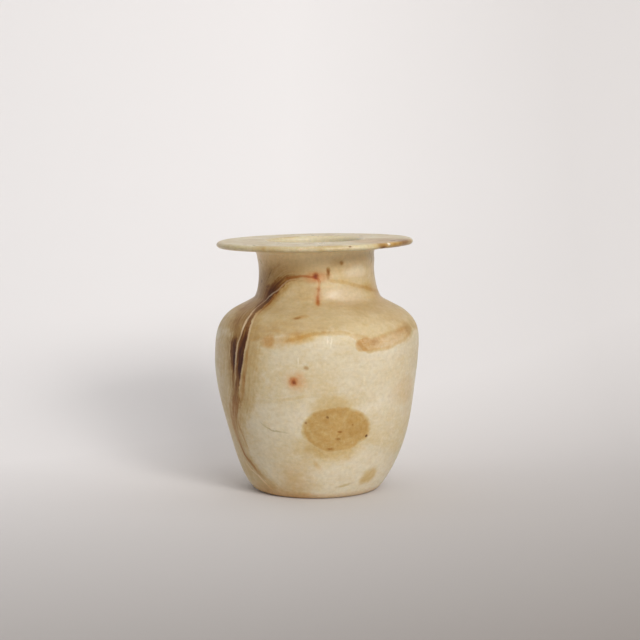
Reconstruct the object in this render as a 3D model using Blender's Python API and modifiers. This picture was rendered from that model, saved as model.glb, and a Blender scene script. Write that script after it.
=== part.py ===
"""Alabaster vase: one block of banded stone, turned and ground by hand into a hollow jar.

The jar stands on a small flat foot, swells to a high shoulder, draws in to a short neck
and ends in a broad thin disc of a rim. Its hollow follows the outside with a real wall.
The profile is worked out from the sizes below, turned about Z, and then given the small
errors of hand work: a wandering centre line, a tilted rim, and a chip out of the rim's edge.

Units are metres, +Z is up and the foot stands on Z = 0. The front is towards -Y.
"""

import math

import bpy
from mathutils import Vector
from mathutils.geometry import interpolate_bezier

# Heights, which add up from the foot to the top of the rim
HEEL_HEIGHT = 0.0047  # where the foot's rounded corner meets the body's wall
BELLY_HEIGHT = 0.0680  # the widest line of the body
SHOULDER_RISE = 0.0322  # from the widest line up to the root of the neck
NECK_LENGTH = 0.0263  # from the root of the neck up to the rim's underside
RIM_THICKNESS = 0.0034

# Radii
HEEL_RADIUS = 0.0359
HEEL_ROUNDING = 0.0062  # how far the rounded corner reaches in under the foot
BODY_RADIUS = 0.0527
NECK_ROOT_RADIUS = 0.0328
NECK_RADIUS = 0.0299  # the narrowest part of the neck
NECK_FLARE = 0.0005  # how much wider the neck is where the rim's fillet starts
RIM_RADIUS = 0.0507

# Walls
BODY_WALL = 0.0070
NECK_WALL = 0.0057
FLOOR_THICKNESS = 0.0100

# Rounded edges and inner corners
RIM_FILLET = 0.0045  # between the neck and the rim's underside
RIM_EDGE_ROUNDING = 0.0022  # how far the rim's rounded edge reaches inwards
RIM_TOP_FALL = 0.0002  # the rim's top falls this much from the mouth to its edge
MOUTH_ROUNDING = 0.0022
HOLLOW_CORNER = 0.0160  # rounding between the hollow's wall and its floor

# Slopes of the outer wall: from upright at the heel, and from level at the two upper points
HEEL_SLOPE = math.radians(33)
SHOULDER_SLOPE = math.radians(34)
NECK_ROOT_SLOPE = math.radians(54)

# Where the shoulder turns, as shares of the way in to the neck and up to its root
SHOULDER_TURN_IN = 0.43
SHOULDER_TURN_UP = 0.80
NECK_WAIST_UP = 0.56  # share of the neck's length below its narrowest part

# Lengths of the curves' handles, as shares of the height that each curve climbs
HEEL_PULL = 0.364
BELLY_PULL_DOWN = 0.080
BELLY_PULL_UP = 0.380
SHOULDER_PULL_DOWN = 0.485
SHOULDER_PULL_UP = 0.375
ROOT_PULL_DOWN = 0.255
ROOT_PULL_UP = 0.145
WAIST_PULL = 0.500
ROUND_PULL = 0.5523  # makes a curve of one quarter turn close to round

# Errors of hand work
CENTRE_OFFSET = 0.0005
CENTRE_DRIFT = 0.00055  # the centre line wanders this far to each side
DRIFT_WAVE = 0.064
DRIFT_START = 0.012
RIM_TILT = math.radians(1.1)  # the rim is lower on the left
RIM_SHIFT = 0.0007  # and stands this much further to the left
RIM_BLEND = 0.0080  # height below the rim over which the neck takes up its tilt

# Chip out of the rim's lower edge, right of the front
CHIP_START = math.radians(38)
CHIP_END = math.radians(80)
CHIP_DEPTH = 0.0010
CHIP_BREAK = math.radians(5)  # the chip's first side is this abrupt
CHIP_FADE = math.radians(16)  # and its other side runs out this gently
CHIP_REACH = 0.0040  # how far in from the edge it takes stone away

# How finely the curves are cut into straight steps
TURN_SEGMENTS = 64
WALL_SEGMENTS = 8
SHOULDER_SEGMENTS = 6
ROUND_SEGMENTS = 3
RIM_TOP_SEGMENTS = 2
MERGE_DISTANCE = 0.00001

FOOT_FLAT_RADIUS = HEEL_RADIUS - HEEL_ROUNDING
NECK_ROOT_HEIGHT = BELLY_HEIGHT + SHOULDER_RISE
UNDERSIDE_HEIGHT = NECK_ROOT_HEIGHT + NECK_LENGTH
TOP_HEIGHT = UNDERSIDE_HEIGHT + RIM_THICKNESS
SHOULDER_RADIUS = BODY_RADIUS - SHOULDER_TURN_IN * (BODY_RADIUS - NECK_ROOT_RADIUS)
SHOULDER_HEIGHT = BELLY_HEIGHT + SHOULDER_TURN_UP * SHOULDER_RISE
WAIST_HEIGHT = NECK_ROOT_HEIGHT + NECK_WAIST_UP * NECK_LENGTH
MOUTH_RADIUS = NECK_RADIUS - NECK_WALL


def point(radius, height):
    """A point of the profile, in the plane of X and Z."""
    return Vector((radius, 0.0, height))


def rising_inwards(slope):
    """The direction that climbs towards the axis at this slope from level."""
    return point(-math.cos(slope), math.sin(slope))


def curve(start, start_handle, end_handle, end, segments):
    """Points along a curve of one span, without its last point, which starts the next span."""
    return interpolate_bezier(start, start_handle, end_handle, end, segments + 1)[:-1]


def smooth_step(value):
    """Eases from 0 to 1 as value goes from 0 to 1."""
    value = min(max(value, 0.0), 1.0)
    return value * value * (3.0 - 2.0 * value)


def outer_wall():
    """The body and neck from the heel up to the start of the rim's fillet."""
    heel = point(HEEL_RADIUS, HEEL_HEIGHT)
    belly = point(BODY_RADIUS, BELLY_HEIGHT)
    shoulder = point(SHOULDER_RADIUS, SHOULDER_HEIGHT)
    root = point(NECK_ROOT_RADIUS, NECK_ROOT_HEIGHT)
    waist = point(NECK_RADIUS, WAIST_HEIGHT)
    fillet = point(NECK_RADIUS + NECK_FLARE, UNDERSIDE_HEIGHT - RIM_FILLET)

    lower = belly.z - heel.z
    upper = shoulder.z - belly.z
    turn = root.z - shoulder.z
    neck = waist.z - root.z
    flare = fillet.z - waist.z
    up = point(0.0, 1.0)
    from_heel = point(math.sin(HEEL_SLOPE), math.cos(HEEL_SLOPE))
    shoulder_way = rising_inwards(SHOULDER_SLOPE)
    root_way = rising_inwards(NECK_ROOT_SLOPE)

    points = curve(heel, heel + from_heel * HEEL_PULL * lower,
                   belly - up * BELLY_PULL_DOWN * lower, belly, WALL_SEGMENTS)
    points += curve(belly, belly + up * BELLY_PULL_UP * upper,
                    shoulder - shoulder_way * SHOULDER_PULL_DOWN * upper, shoulder, SHOULDER_SEGMENTS)
    points += curve(shoulder, shoulder + shoulder_way * SHOULDER_PULL_UP * turn,
                    root - root_way * ROOT_PULL_DOWN * turn, root, ROUND_SEGMENTS)
    points += curve(root, root + root_way * ROOT_PULL_UP * neck,
                    waist - up * WAIST_PULL * neck, waist, ROUND_SEGMENTS)
    points += curve(waist, waist + up * WAIST_PULL * flare,
                    fillet - up * WAIST_PULL * flare, fillet, ROUND_SEGMENTS)
    return points + [fillet]


def rim():
    """The rim from its fillet on the neck, round its edge and over its top to the mouth."""
    fillet = point(NECK_RADIUS + NECK_FLARE, UNDERSIDE_HEIGHT - RIM_FILLET)
    underside = point(fillet.x + RIM_FILLET, UNDERSIDE_HEIGHT)
    edge_top = TOP_HEIGHT - RIM_TOP_FALL
    lower_edge = point(RIM_RADIUS - RIM_EDGE_ROUNDING, UNDERSIDE_HEIGHT)
    upper_edge = point(RIM_RADIUS - RIM_EDGE_ROUNDING, edge_top)
    edge = point(RIM_RADIUS, (UNDERSIDE_HEIGHT + edge_top) / 2)
    crest = point(MOUTH_RADIUS + MOUTH_ROUNDING, TOP_HEIGHT)
    mouth = point(MOUTH_RADIUS, TOP_HEIGHT - MOUTH_ROUNDING)

    up = point(0.0, 1.0)
    out = point(1.0, 0.0)
    half = (edge_top - UNDERSIDE_HEIGHT) / 2
    round_in = out * ROUND_PULL * RIM_EDGE_ROUNDING
    round_up = up * ROUND_PULL * half
    points = curve(fillet, fillet + up * ROUND_PULL * RIM_FILLET,
                   underside - out * ROUND_PULL * RIM_FILLET, underside, ROUND_SEGMENTS)
    points += [underside]
    points += curve(lower_edge, lower_edge + round_in, edge - round_up, edge, ROUND_SEGMENTS)
    points += curve(edge, edge + round_up, upper_edge + round_in, upper_edge, ROUND_SEGMENTS)
    points += curve(upper_edge, upper_edge - out * ROUND_PULL * RIM_EDGE_ROUNDING,
                    crest + out * ROUND_PULL * MOUTH_ROUNDING, crest, RIM_TOP_SEGMENTS)
    points += curve(crest, crest - out * ROUND_PULL * MOUTH_ROUNDING,
                    mouth + up * ROUND_PULL * MOUTH_ROUNDING, mouth, ROUND_SEGMENTS)
    return points[1:] + [mouth]


def wall_thickness(height):
    """The wall is thinner in the neck than in the body."""
    climb = (height - SHOULDER_HEIGHT) / (NECK_ROOT_HEIGHT - SHOULDER_HEIGHT)
    return BODY_WALL + (NECK_WALL - BODY_WALL) * smooth_step(climb)


def hollow(wall):
    """The hollow from the neck down to the middle of its floor, one wall in from the outside."""
    corner_height = FLOOR_THICKNESS + HOLLOW_CORNER
    inside = []
    for before, here, after in zip(wall, wall[1:], wall[2:]):
        along = (after - before).normalized()
        inwards = point(-along.z, along.x)
        place = here + inwards * wall_thickness(here.z)
        if corner_height < place.z < WAIST_HEIGHT:
            inside.append(point(max(place.x, MOUTH_RADIUS), place.z))
    corner = inside[0]
    drop = (corner - inside[1]).normalized()
    middle = point(0.0, FLOOR_THICKNESS)
    floor = curve(corner, corner + drop * HOLLOW_CORNER * ROUND_PULL,
                  point(corner.x - HOLLOW_CORNER, middle.z), middle, SHOULDER_SEGMENTS)
    return inside[:0:-1] + floor + [middle]


def profile():
    """The whole outline, from the hollow's floor up the inside and down the outer side."""
    wall = outer_wall()
    foot = curve(point(FOOT_FLAT_RADIUS, 0.0), point(FOOT_FLAT_RADIUS + HEEL_ROUNDING / 2, 0.0),
                 wall[0] - (wall[1] - wall[0]).normalized() * HEEL_HEIGHT / 2, wall[0], ROUND_SEGMENTS)
    outside = [point(0.0, 0.0)] + foot + wall + rim()
    return (outside + hollow(wall))[::-1]


def turn(name, outline):
    """Turns the outline about Z with a Screw and returns the result as a plain mesh."""
    mesh = bpy.data.meshes.new(name)
    edges = [(index, index + 1) for index in range(len(outline) - 1)]
    mesh.from_pydata(outline, edges, [])
    guide = bpy.data.objects.new(name + "_outline", mesh)
    bpy.context.scene.collection.objects.link(guide)
    screw = guide.modifiers.new("Turn", "SCREW")
    screw.steps = TURN_SEGMENTS
    screw.render_steps = TURN_SEGMENTS
    screw.use_merge_vertices = True
    screw.merge_threshold = MERGE_DISTANCE
    graph = bpy.context.evaluated_depsgraph_get()
    turned = bpy.data.meshes.new_from_object(guide.evaluated_get(graph))
    turned.name = name
    bpy.data.objects.remove(guide)
    bpy.data.meshes.remove(mesh)
    return turned


def chip_depth(azimuth):
    """How deep the chip is at this angle to the right of the front."""
    opening = smooth_step((azimuth - CHIP_START) / CHIP_BREAK)
    closing = smooth_step((CHIP_END - azimuth) / CHIP_FADE)
    return CHIP_DEPTH * opening * closing


def chip_rim(mesh):
    """Takes the chip out of the rim's lower outer edge."""
    rim_middle = (UNDERSIDE_HEIGHT + TOP_HEIGHT) / 2
    for vertex in mesh.vertices:
        radius = math.hypot(vertex.co.x, vertex.co.y)
        low = smooth_step((TOP_HEIGHT - vertex.co.z) / (TOP_HEIGHT - rim_middle))
        out = smooth_step((radius - RIM_RADIUS + CHIP_REACH) / CHIP_REACH)
        if vertex.co.z < UNDERSIDE_HEIGHT - MERGE_DISTANCE or out <= 0.0:
            continue
        depth = chip_depth(math.atan2(vertex.co.x, -vertex.co.y)) * low * out
        vertex.co.x *= 1.0 - depth / radius
        vertex.co.y *= 1.0 - depth / radius


def set_by_hand(mesh):
    """Shifts the centre line and tilts the rim, as hand work leaves them."""
    for vertex in mesh.vertices:
        height = vertex.co.z
        rim_share = smooth_step((height - UNDERSIDE_HEIGHT + RIM_BLEND) / RIM_BLEND)
        drift = CENTRE_DRIFT * math.sin(math.tau * (height - DRIFT_START) / DRIFT_WAVE)
        vertex.co.z += vertex.co.x * math.tan(RIM_TILT) * rim_share
        vertex.co.x += CENTRE_OFFSET + drift - RIM_SHIFT * rim_share


def alabaster():
    """Cream banded alabaster, ground smooth and softly glossy."""
    material = bpy.data.materials.new("alabaster")
    material.use_nodes = True
    shader = material.node_tree.nodes["Principled BSDF"]
    shader.inputs["Base Color"].default_value = (0.604, 0.479, 0.282, 1.0)
    shader.inputs["Metallic"].default_value = 0.0
    shader.inputs["Roughness"].default_value = 0.42
    shader.inputs["Subsurface Weight"].default_value = 0.25
    shader.inputs["Subsurface Scale"].default_value = 0.004
    return material


def build_vase():
    """Models the vase and links it into its own collection."""
    mesh = turn("vase", profile())
    chip_rim(mesh)
    set_by_hand(mesh)
    mesh.shade_smooth()
    mesh.materials.append(alabaster())
    vase = bpy.data.objects.new("vase", mesh)
    collection = bpy.data.collections.new("alabaster_vase")
    bpy.context.scene.collection.children.link(collection)
    collection.objects.link(vase)
    return vase


def main():
    for thing in list(bpy.data.objects):
        bpy.data.objects.remove(thing, do_unlink=True)
    build_vase()


main()
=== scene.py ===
"""Alabaster vase: the finished stone on a pale sweep, in the photograph's light and view.

A Geometry Nodes tree turns the jar from the same sizes as its solid, in fine steps, and
gives it the errors of hand work. The chip and the open cracks are then cut into the mesh,
the courses of the veins are written on it as distances in millimetres, and one stone
material reads them.
"""

from __future__ import annotations

import logging
import math
from collections.abc import Iterable, Sequence
from dataclasses import dataclass, field
from enum import Enum
from typing import Any

import bpy
import numpy as np
from mathutils import Matrix, Vector, noise
from mathutils.geometry import interpolate_bezier


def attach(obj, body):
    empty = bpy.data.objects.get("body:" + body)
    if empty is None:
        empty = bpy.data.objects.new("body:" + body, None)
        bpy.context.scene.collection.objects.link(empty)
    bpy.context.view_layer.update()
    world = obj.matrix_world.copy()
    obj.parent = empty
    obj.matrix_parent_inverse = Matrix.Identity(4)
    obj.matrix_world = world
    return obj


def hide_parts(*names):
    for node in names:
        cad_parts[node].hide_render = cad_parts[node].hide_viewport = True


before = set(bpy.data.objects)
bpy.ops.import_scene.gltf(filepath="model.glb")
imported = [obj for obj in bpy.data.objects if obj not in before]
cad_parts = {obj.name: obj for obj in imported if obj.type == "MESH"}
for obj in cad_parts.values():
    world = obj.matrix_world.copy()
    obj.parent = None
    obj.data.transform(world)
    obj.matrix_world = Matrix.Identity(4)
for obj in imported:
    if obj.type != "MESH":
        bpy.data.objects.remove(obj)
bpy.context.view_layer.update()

LOG = logging.getLogger("alabaster_vase")
MM = 0.001


def linear(hex_colour: str) -> tuple[float, float, float, float]:
    """Turns an sRGB hex colour to linear light.

    Args:
        hex_colour: The colour, as "#RRGGBB".

    Returns:
        Red, green and blue in linear light, and an alpha of 1.
    """
    values = [int(hex_colour[place:place + 2], 16) / 255 for place in (1, 3, 5)]
    red, green, blue = (v / 12.92 if v <= 0.04045 else ((v + 0.055) / 1.055) ** 2.4 for v in values)
    return red, green, blue, 1.0


def put(tree: bpy.types.NodeTree, kind: str, inputs: dict[Any, Any] | None = None,
        **settings: Any) -> bpy.types.Node:
    """Adds a node with its settings, its plain values and its links.

    Args:
        tree: The node tree that takes the node.
        kind: The node's Blender type.
        inputs: A value, or an output to link, for each input by name or number.
        **settings: Properties of the node itself.

    Returns:
        The new node.
    """
    node = tree.nodes.new(kind)
    for name, value in settings.items():
        setattr(node, name, value)
    for key, value in (inputs or {}).items():
        if isinstance(value, bpy.types.NodeSocket):
            tree.links.new(value, node.inputs[key])
        else:
            node.inputs[key].default_value = value
    return node


def eased(value: np.ndarray | float) -> np.ndarray | float:
    """Eases from 0 to 1 as value goes from 0 to 1."""
    value = np.clip(value, 0.0, 1.0)
    return value * value * (3.0 - 2.0 * value)


@dataclass
class JarForm:
    """The jar's outline and the errors of its hand work, in metres, as its solid has them."""

    heel_height: float = 0.0047
    belly_height: float = 0.0680
    shoulder_rise: float = 0.0322
    neck_length: float = 0.0263
    rim_thickness: float = 0.0034
    heel_radius: float = 0.0359
    heel_rounding: float = 0.0062
    body_radius: float = 0.0527
    neck_root_radius: float = 0.0328
    neck_radius: float = 0.0299
    neck_flare: float = 0.0005
    rim_radius: float = 0.0507
    body_wall: float = 0.0070
    neck_wall: float = 0.0057
    floor_thickness: float = 0.0100
    rim_fillet: float = 0.0045
    rim_edge_rounding: float = 0.0022
    rim_top_fall: float = 0.0002
    mouth_rounding: float = 0.0022
    hollow_corner: float = 0.0160
    heel_slope: float = math.radians(33)
    shoulder_slope: float = math.radians(34)
    neck_root_slope: float = math.radians(54)
    shoulder_turn_in: float = 0.43
    shoulder_turn_up: float = 0.80
    neck_waist_up: float = 0.56
    # lengths of the curves' handles, as shares of the height that each curve climbs
    heel_pull: float = 0.364
    belly_pull_down: float = 0.080
    belly_pull_up: float = 0.380
    shoulder_pull_down: float = 0.485
    shoulder_pull_up: float = 0.375
    root_pull_down: float = 0.255
    root_pull_up: float = 0.145
    waist_pull: float = 0.5
    centre_offset: float = 0.0005
    centre_drift: float = 0.00055
    drift_wave: float = 0.064
    drift_start: float = 0.012
    rim_tilt: float = math.radians(1.1)
    rim_shift: float = 0.0007
    rim_blend: float = 0.0080
    rim_margin: float = 0.0002  # a place this near under the rim counts as on its edge
    round_pull: float = 0.5523  # makes a curve of one quarter turn close to round
    wall_segments: int = 60
    shoulder_segments: int = 28
    turn_segments: int = 8
    neck_segments: int = 14
    flare_segments: int = 5
    round_segments: int = 6
    flat_segments: int = 5

    def __post_init__(self) -> None:
        """Adds the heights and radii that follow from the sizes."""
        self.root_height = self.belly_height + self.shoulder_rise
        self.underside = self.root_height + self.neck_length
        self.top = self.underside + self.rim_thickness
        inwards = self.shoulder_turn_in * (self.body_radius - self.neck_root_radius)
        self.shoulder_radius = self.body_radius - inwards
        self.shoulder_height = self.belly_height + self.shoulder_turn_up * self.shoulder_rise
        self.waist_height = self.root_height + self.neck_waist_up * self.neck_length
        self.mouth_radius = self.neck_radius - self.neck_wall
        self.foot_flat = self.heel_radius - self.heel_rounding
        wall = self.outer_wall()
        self.wall_heights = [p.z for p in wall]
        self.wall_radii = [p.x for p in wall]

    @staticmethod
    def point(radius: float, height: float) -> Vector:
        """A point of the outline, in the plane of X and Z."""
        return Vector((radius, 0.0, height))

    @staticmethod
    def span(start: Vector, lead: Vector, tail: Vector, end: Vector, segments: int) -> list[Vector]:
        """Points along one curve, without its last.

        Args:
            start: Where the curve starts.
            lead: The first handle, from start.
            tail: The second handle, from end.
            end: Where the curve ends.
            segments: How many steps it is cut into.

        Returns:
            The points, as many as the segments.
        """
        return interpolate_bezier(start, start + lead, end + tail, end, segments + 1)[:-1]

    def outer_wall(self) -> list[Vector]:
        """The body and neck, from the heel up to the start of the rim's fillet.

        Returns:
            The points, from the heel upwards.
        """
        heel = self.point(self.heel_radius, self.heel_height)
        belly = self.point(self.body_radius, self.belly_height)
        shoulder = self.point(self.shoulder_radius, self.shoulder_height)
        root = self.point(self.neck_root_radius, self.root_height)
        waist = self.point(self.neck_radius, self.waist_height)
        fillet = self.point(self.neck_radius + self.neck_flare, self.underside - self.rim_fillet)
        up = self.point(0.0, 1.0)
        lower, upper, turn = belly.z - heel.z, shoulder.z - belly.z, root.z - shoulder.z
        neck, flare = waist.z - root.z, fillet.z - waist.z
        out_of_heel = self.point(math.sin(self.heel_slope), math.cos(self.heel_slope))
        over = self.point(-math.cos(self.shoulder_slope), math.sin(self.shoulder_slope))
        into_neck = self.point(-math.cos(self.neck_root_slope), math.sin(self.neck_root_slope))
        points = self.span(heel, out_of_heel * self.heel_pull * lower,
                           -up * self.belly_pull_down * lower, belly, self.wall_segments)
        points += self.span(belly, up * self.belly_pull_up * upper,
                            -over * self.shoulder_pull_down * upper, shoulder,
                            self.shoulder_segments)
        points += self.span(shoulder, over * self.shoulder_pull_up * turn,
                            -into_neck * self.root_pull_down * turn, root, self.turn_segments)
        points += self.span(root, into_neck * self.root_pull_up * neck,
                            -up * self.waist_pull * neck, waist, self.neck_segments)
        points += self.span(waist, up * self.waist_pull * flare, -up * self.waist_pull * flare,
                            fillet, self.flare_segments)
        return points + [fillet]

    def rim(self) -> list[Vector]:
        """The rim from its fillet on the neck, round its edge and over its top to the mouth.

        Returns:
            The points, without the fillet's first, which the wall has.
        """
        pull = self.round_pull
        edge_top = self.top - self.rim_top_fall
        half = (edge_top - self.underside) / 2
        fillet = self.point(self.neck_radius + self.neck_flare, self.underside - self.rim_fillet)
        underside = self.point(fillet.x + self.rim_fillet, self.underside)
        lower = self.point(self.rim_radius - self.rim_edge_rounding, self.underside)
        upper = self.point(lower.x, edge_top)
        edge = self.point(self.rim_radius, self.underside + half)
        crest = self.point(self.mouth_radius + self.mouth_rounding, self.top)
        mouth = self.point(self.mouth_radius, self.top - self.mouth_rounding)
        up, out = self.point(0.0, 1.0), self.point(1.0, 0.0)
        fillet_pull = pull * self.rim_fillet
        edge_pull = pull * self.rim_edge_rounding
        mouth_pull = pull * self.mouth_rounding
        points = self.span(fillet, up * fillet_pull, -out * fillet_pull, underside,
                           self.round_segments)
        points += self.span(underside, out * fillet_pull, -out * edge_pull, lower,
                            self.flat_segments)
        points += self.span(lower, out * edge_pull, -up * pull * half, edge, self.round_segments)
        points += self.span(edge, up * pull * half, out * edge_pull, upper, self.round_segments)
        points += self.span(upper, -out * edge_pull, out * mouth_pull, crest,
                            self.flat_segments + self.round_segments)
        points += self.span(crest, -out * mouth_pull, up * mouth_pull, mouth, self.round_segments)
        return points[1:] + [mouth]

    def hollow(self, wall: list[Vector]) -> list[Vector]:
        """The hollow, one wall in from the outside, from the neck down to its floor's middle.

        Args:
            wall: The outer wall's points, from the heel upwards.

        Returns:
            The inner points, from the neck down.
        """
        corner_height = self.floor_thickness + self.hollow_corner
        inside = []
        for before, here, after in zip(wall, wall[1:], wall[2:]):
            along = (after - before).normalized()
            climb = (here.z - self.shoulder_height) / (self.root_height - self.shoulder_height)
            thickness = self.body_wall + (self.neck_wall - self.body_wall) * float(eased(climb))
            place = here + self.point(-along.z, along.x) * thickness
            if corner_height < place.z < self.waist_height:
                inside.append(self.point(max(place.x, self.mouth_radius), place.z))
        corner = inside[0]
        drop = (corner - inside[1]).normalized() * self.hollow_corner * self.round_pull
        middle = self.point(0.0, self.floor_thickness)
        edge = corner.x - self.hollow_corner
        floor = self.span(corner, drop, self.point(edge, 0.0), middle, 2 * self.round_segments)
        bore_top = self.point(self.mouth_radius, self.top - self.mouth_rounding)
        neck = self.span(bore_top, Vector(), Vector(), inside[-1], self.flat_segments)
        return neck[1:] + inside[::-2] + floor[1:] + [middle]

    def outline(self) -> list[Vector]:
        """The whole outline, from the middle of the foot up the outside and down the hollow.

        Returns:
            The points, in the plane of X and Z.
        """
        wall = self.outer_wall()
        flat = self.point(self.foot_flat, 0.0)
        climb = (wall[1] - wall[0]).normalized()
        foot = self.span(Vector(), Vector(), Vector(), flat, self.flat_segments)
        corner = self.span(flat, self.point(self.heel_rounding / 2, 0.0),
                           -climb * self.heel_height / 2, wall[0], self.round_segments)
        return foot + corner + wall + self.rim() + self.hollow(wall)

    def place(self, azimuth: np.ndarray | float, height: np.ndarray | float) -> np.ndarray:
        """Points of the outside by azimuth and height, with the errors of hand work.

        Args:
            azimuth: Degrees to the right of the front.
            height: Millimetres above the foot, before the rim's tilt.

        Returns:
            The points, one row each, in metres.
        """
        angle, height = np.radians(azimuth), np.asarray(height) * MM
        radius = np.interp(height, self.wall_heights, self.wall_radii)
        radius = np.where(height > self.underside - self.rim_margin, self.rim_radius, radius)
        spot = np.stack([radius * np.sin(angle), -radius * np.cos(angle), height + 0 * angle], -1)
        return self.set_by_hand(spot)

    def set_by_hand(self, spots: np.ndarray) -> np.ndarray:
        """Shifts points with the wandering centre line and the tilted rim.

        Args:
            spots: Points of the true turned form, in metres.

        Returns:
            The shifted points.
        """
        moved = np.array(spots, dtype=float)
        height = moved[..., 2].copy()
        share = eased((height - self.underside + self.rim_blend) / self.rim_blend)
        wander = np.sin(math.tau * (height - self.drift_start) / self.drift_wave)
        moved[..., 2] += moved[..., 0] * math.tan(self.rim_tilt) * share
        moved[..., 0] += self.centre_offset + self.centre_drift * wander - self.rim_shift * share
        return moved


@dataclass(frozen=True)
class Turning:
    """The Geometry Nodes tree that turns an outline into the jar."""

    form: JarForm
    steps: int  # steps of the full turn
    unevenness: float  # how far the ground surface swells and dips, in metres
    seed: float  # picks the unevenness

    WELD = 0.002 * MM
    SWELL = 26 * MM  # length of one swell of the surface
    SWELL_FLATTER = 1.6  # how much shorter it is upright
    SWELL_TOP = 0.73  # hardly any of the noise is above this, so nearly all goes inwards
    LEVEL_FOOT = (1 * MM, 6 * MM)  # the heights between which the unevenness sets in

    SIZES = {
        "Centre Offset": "centre_offset",
        "Centre Drift": "centre_drift",
        "Drift Wave": "drift_wave",
        "Drift Start": "drift_start",
        "Rim Tilt": "rim_tilt",
        "Rim Shift": "rim_shift",
        "Rim Blend": "rim_blend",
        "Underside": "underside",
    }

    def tree(self) -> bpy.types.NodeTree:
        """Builds the node tree, with its named inputs.

        Returns:
            The finished tree.
        """
        tree = bpy.data.node_groups.new("Turned stone", "GeometryNodeTree")
        face = tree.interface
        face.new_socket("Outline", in_out="INPUT", socket_type="NodeSocketGeometry")
        face.new_socket("Steps", in_out="INPUT", socket_type="NodeSocketInt")
        for name in (*self.SIZES, "Unevenness", "Seed"):
            face.new_socket(name, in_out="INPUT", socket_type="NodeSocketFloat")
        face.new_socket("Stone", in_out="INPUT", socket_type="NodeSocketMaterial")
        face.new_socket("Jar", in_out="OUTPUT", socket_type="NodeSocketGeometry")
        given = put(tree, "NodeGroupInput").outputs
        turned = self.turned(tree, given)
        set_right = self.set_by_hand(tree, given, self.uneven(tree, given, turned))
        real = put(tree, "GeometryNodeRealizeInstances", {"Geometry": set_right})
        dressed = put(tree, "GeometryNodeSetMaterial",
                      {"Geometry": real.outputs[0], "Material": given["Stone"]})
        put(tree, "NodeGroupOutput", {"Jar": dressed.outputs[0]})
        return tree

    def turned(self, tree: bpy.types.NodeTree, given: Any) -> bpy.types.NodeSocket:
        """Bends a grid of steps and outline points round the axis and closes it.

        Args:
            tree: The tree that takes the nodes.
            given: The outputs of its group input.

        Returns:
            The turned jar's geometry.
        """
        size = put(tree, "GeometryNodeAttributeDomainSize", {0: given["Outline"]})
        rows = size.outputs["Point Count"]
        columns = put(tree, "ShaderNodeMath", {0: given["Steps"], 1: 1.0}, operation="ADD").outputs[0]
        grid = put(tree, "GeometryNodeMeshGrid",
                   {"Size X": 1.0, "Size Y": 1.0, "Vertices X": rows, "Vertices Y": columns})
        index = put(tree, "GeometryNodeInputIndex").outputs[0]
        column = put(tree, "ShaderNodeMath", {0: index, 1: columns}, operation="MODULO").outputs[0]
        row = put(tree, "ShaderNodeMath", {0: index, 1: columns}, operation="DIVIDE").outputs[0]
        row = put(tree, "ShaderNodeMath", {0: row}, operation="FLOOR").outputs[0]
        place = put(tree, "GeometryNodeInputPosition").outputs[0]
        sample = put(tree, "GeometryNodeSampleIndex",
                     {"Geometry": given["Outline"], "Value": place, "Index": row},
                     data_type="FLOAT_VECTOR")
        outline = put(tree, "ShaderNodeSeparateXYZ", {0: sample.outputs[0]}).outputs
        share = put(tree, "ShaderNodeMath", {0: column, 1: given["Steps"]}, operation="DIVIDE")
        angle = put(tree, "ShaderNodeMath", {0: share.outputs[0], 1: math.tau},
                    operation="MULTIPLY").outputs[0]
        around = []
        for turn in ("COSINE", "SINE"):
            part = put(tree, "ShaderNodeMath", {0: angle}, operation=turn).outputs[0]
            around.append(put(tree, "ShaderNodeMath", {0: outline[0], 1: part},
                              operation="MULTIPLY").outputs[0])
        bent = put(tree, "ShaderNodeCombineXYZ", {0: around[0], 1: around[1], 2: outline[2]})
        moved = put(tree, "GeometryNodeSetPosition",
                    {"Geometry": grid.outputs[0], "Position": bent.outputs[0]})
        closed = put(tree, "GeometryNodeMergeByDistance",
                     {"Geometry": moved.outputs[0], "Distance": self.WELD})
        outwards = put(tree, "GeometryNodeFlipFaces", {"Mesh": closed.outputs[0]})
        smooth = put(tree, "GeometryNodeSetShadeSmooth", {"Geometry": outwards.outputs[0]})
        return smooth.outputs[0]

    def uneven(self, tree: bpy.types.NodeTree, given: Any,
               jar: bpy.types.NodeSocket) -> bpy.types.NodeSocket:
        """Lets the ground surface swell and dip a little, except under the foot.

        Args:
            tree: The tree that takes the nodes.
            given: The outputs of its group input.
            jar: The jar's geometry so far.

        Returns:
            The uneven jar's geometry.
        """
        place = put(tree, "GeometryNodeInputPosition").outputs[0]
        height = put(tree, "ShaderNodeSeparateXYZ", {0: place}).outputs[2]
        flatter = put(tree, "ShaderNodeVectorMath", {0: place, 1: (1.0, 1.0, self.SWELL_FLATTER)},
                      operation="MULTIPLY").outputs[0]
        swell = put(tree, "ShaderNodeTexNoise",
                    {"Vector": flatter, "W": given["Seed"], "Scale": 1 / self.SWELL, "Detail": 2.0,
                     "Roughness": 0.45}, noise_dimensions="4D")
        inwards = put(tree, "ShaderNodeMath", {0: swell.outputs[0], 1: self.SWELL_TOP},
                      operation="SUBTRACT").outputs[0]
        lifted = put(tree, "ShaderNodeMapRange", {"Value": height,
                                                  "From Min": self.LEVEL_FOOT[0],
                                                  "From Max": self.LEVEL_FOOT[1],
                                                  "To Min": 0.0, "To Max": 2.0})
        amount = put(tree, "ShaderNodeMath", {0: inwards, 1: lifted.outputs[0]},
                     operation="MULTIPLY").outputs[0]
        amount = put(tree, "ShaderNodeMath", {0: amount, 1: given["Unevenness"]},
                     operation="MULTIPLY").outputs[0]
        normal = put(tree, "GeometryNodeInputNormal").outputs[0]
        offset = put(tree, "ShaderNodeVectorMath", {0: normal, "Scale": amount}, operation="SCALE")
        return put(tree, "GeometryNodeSetPosition",
                   {"Geometry": jar, "Offset": offset.outputs[0]}).outputs[0]

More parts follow.
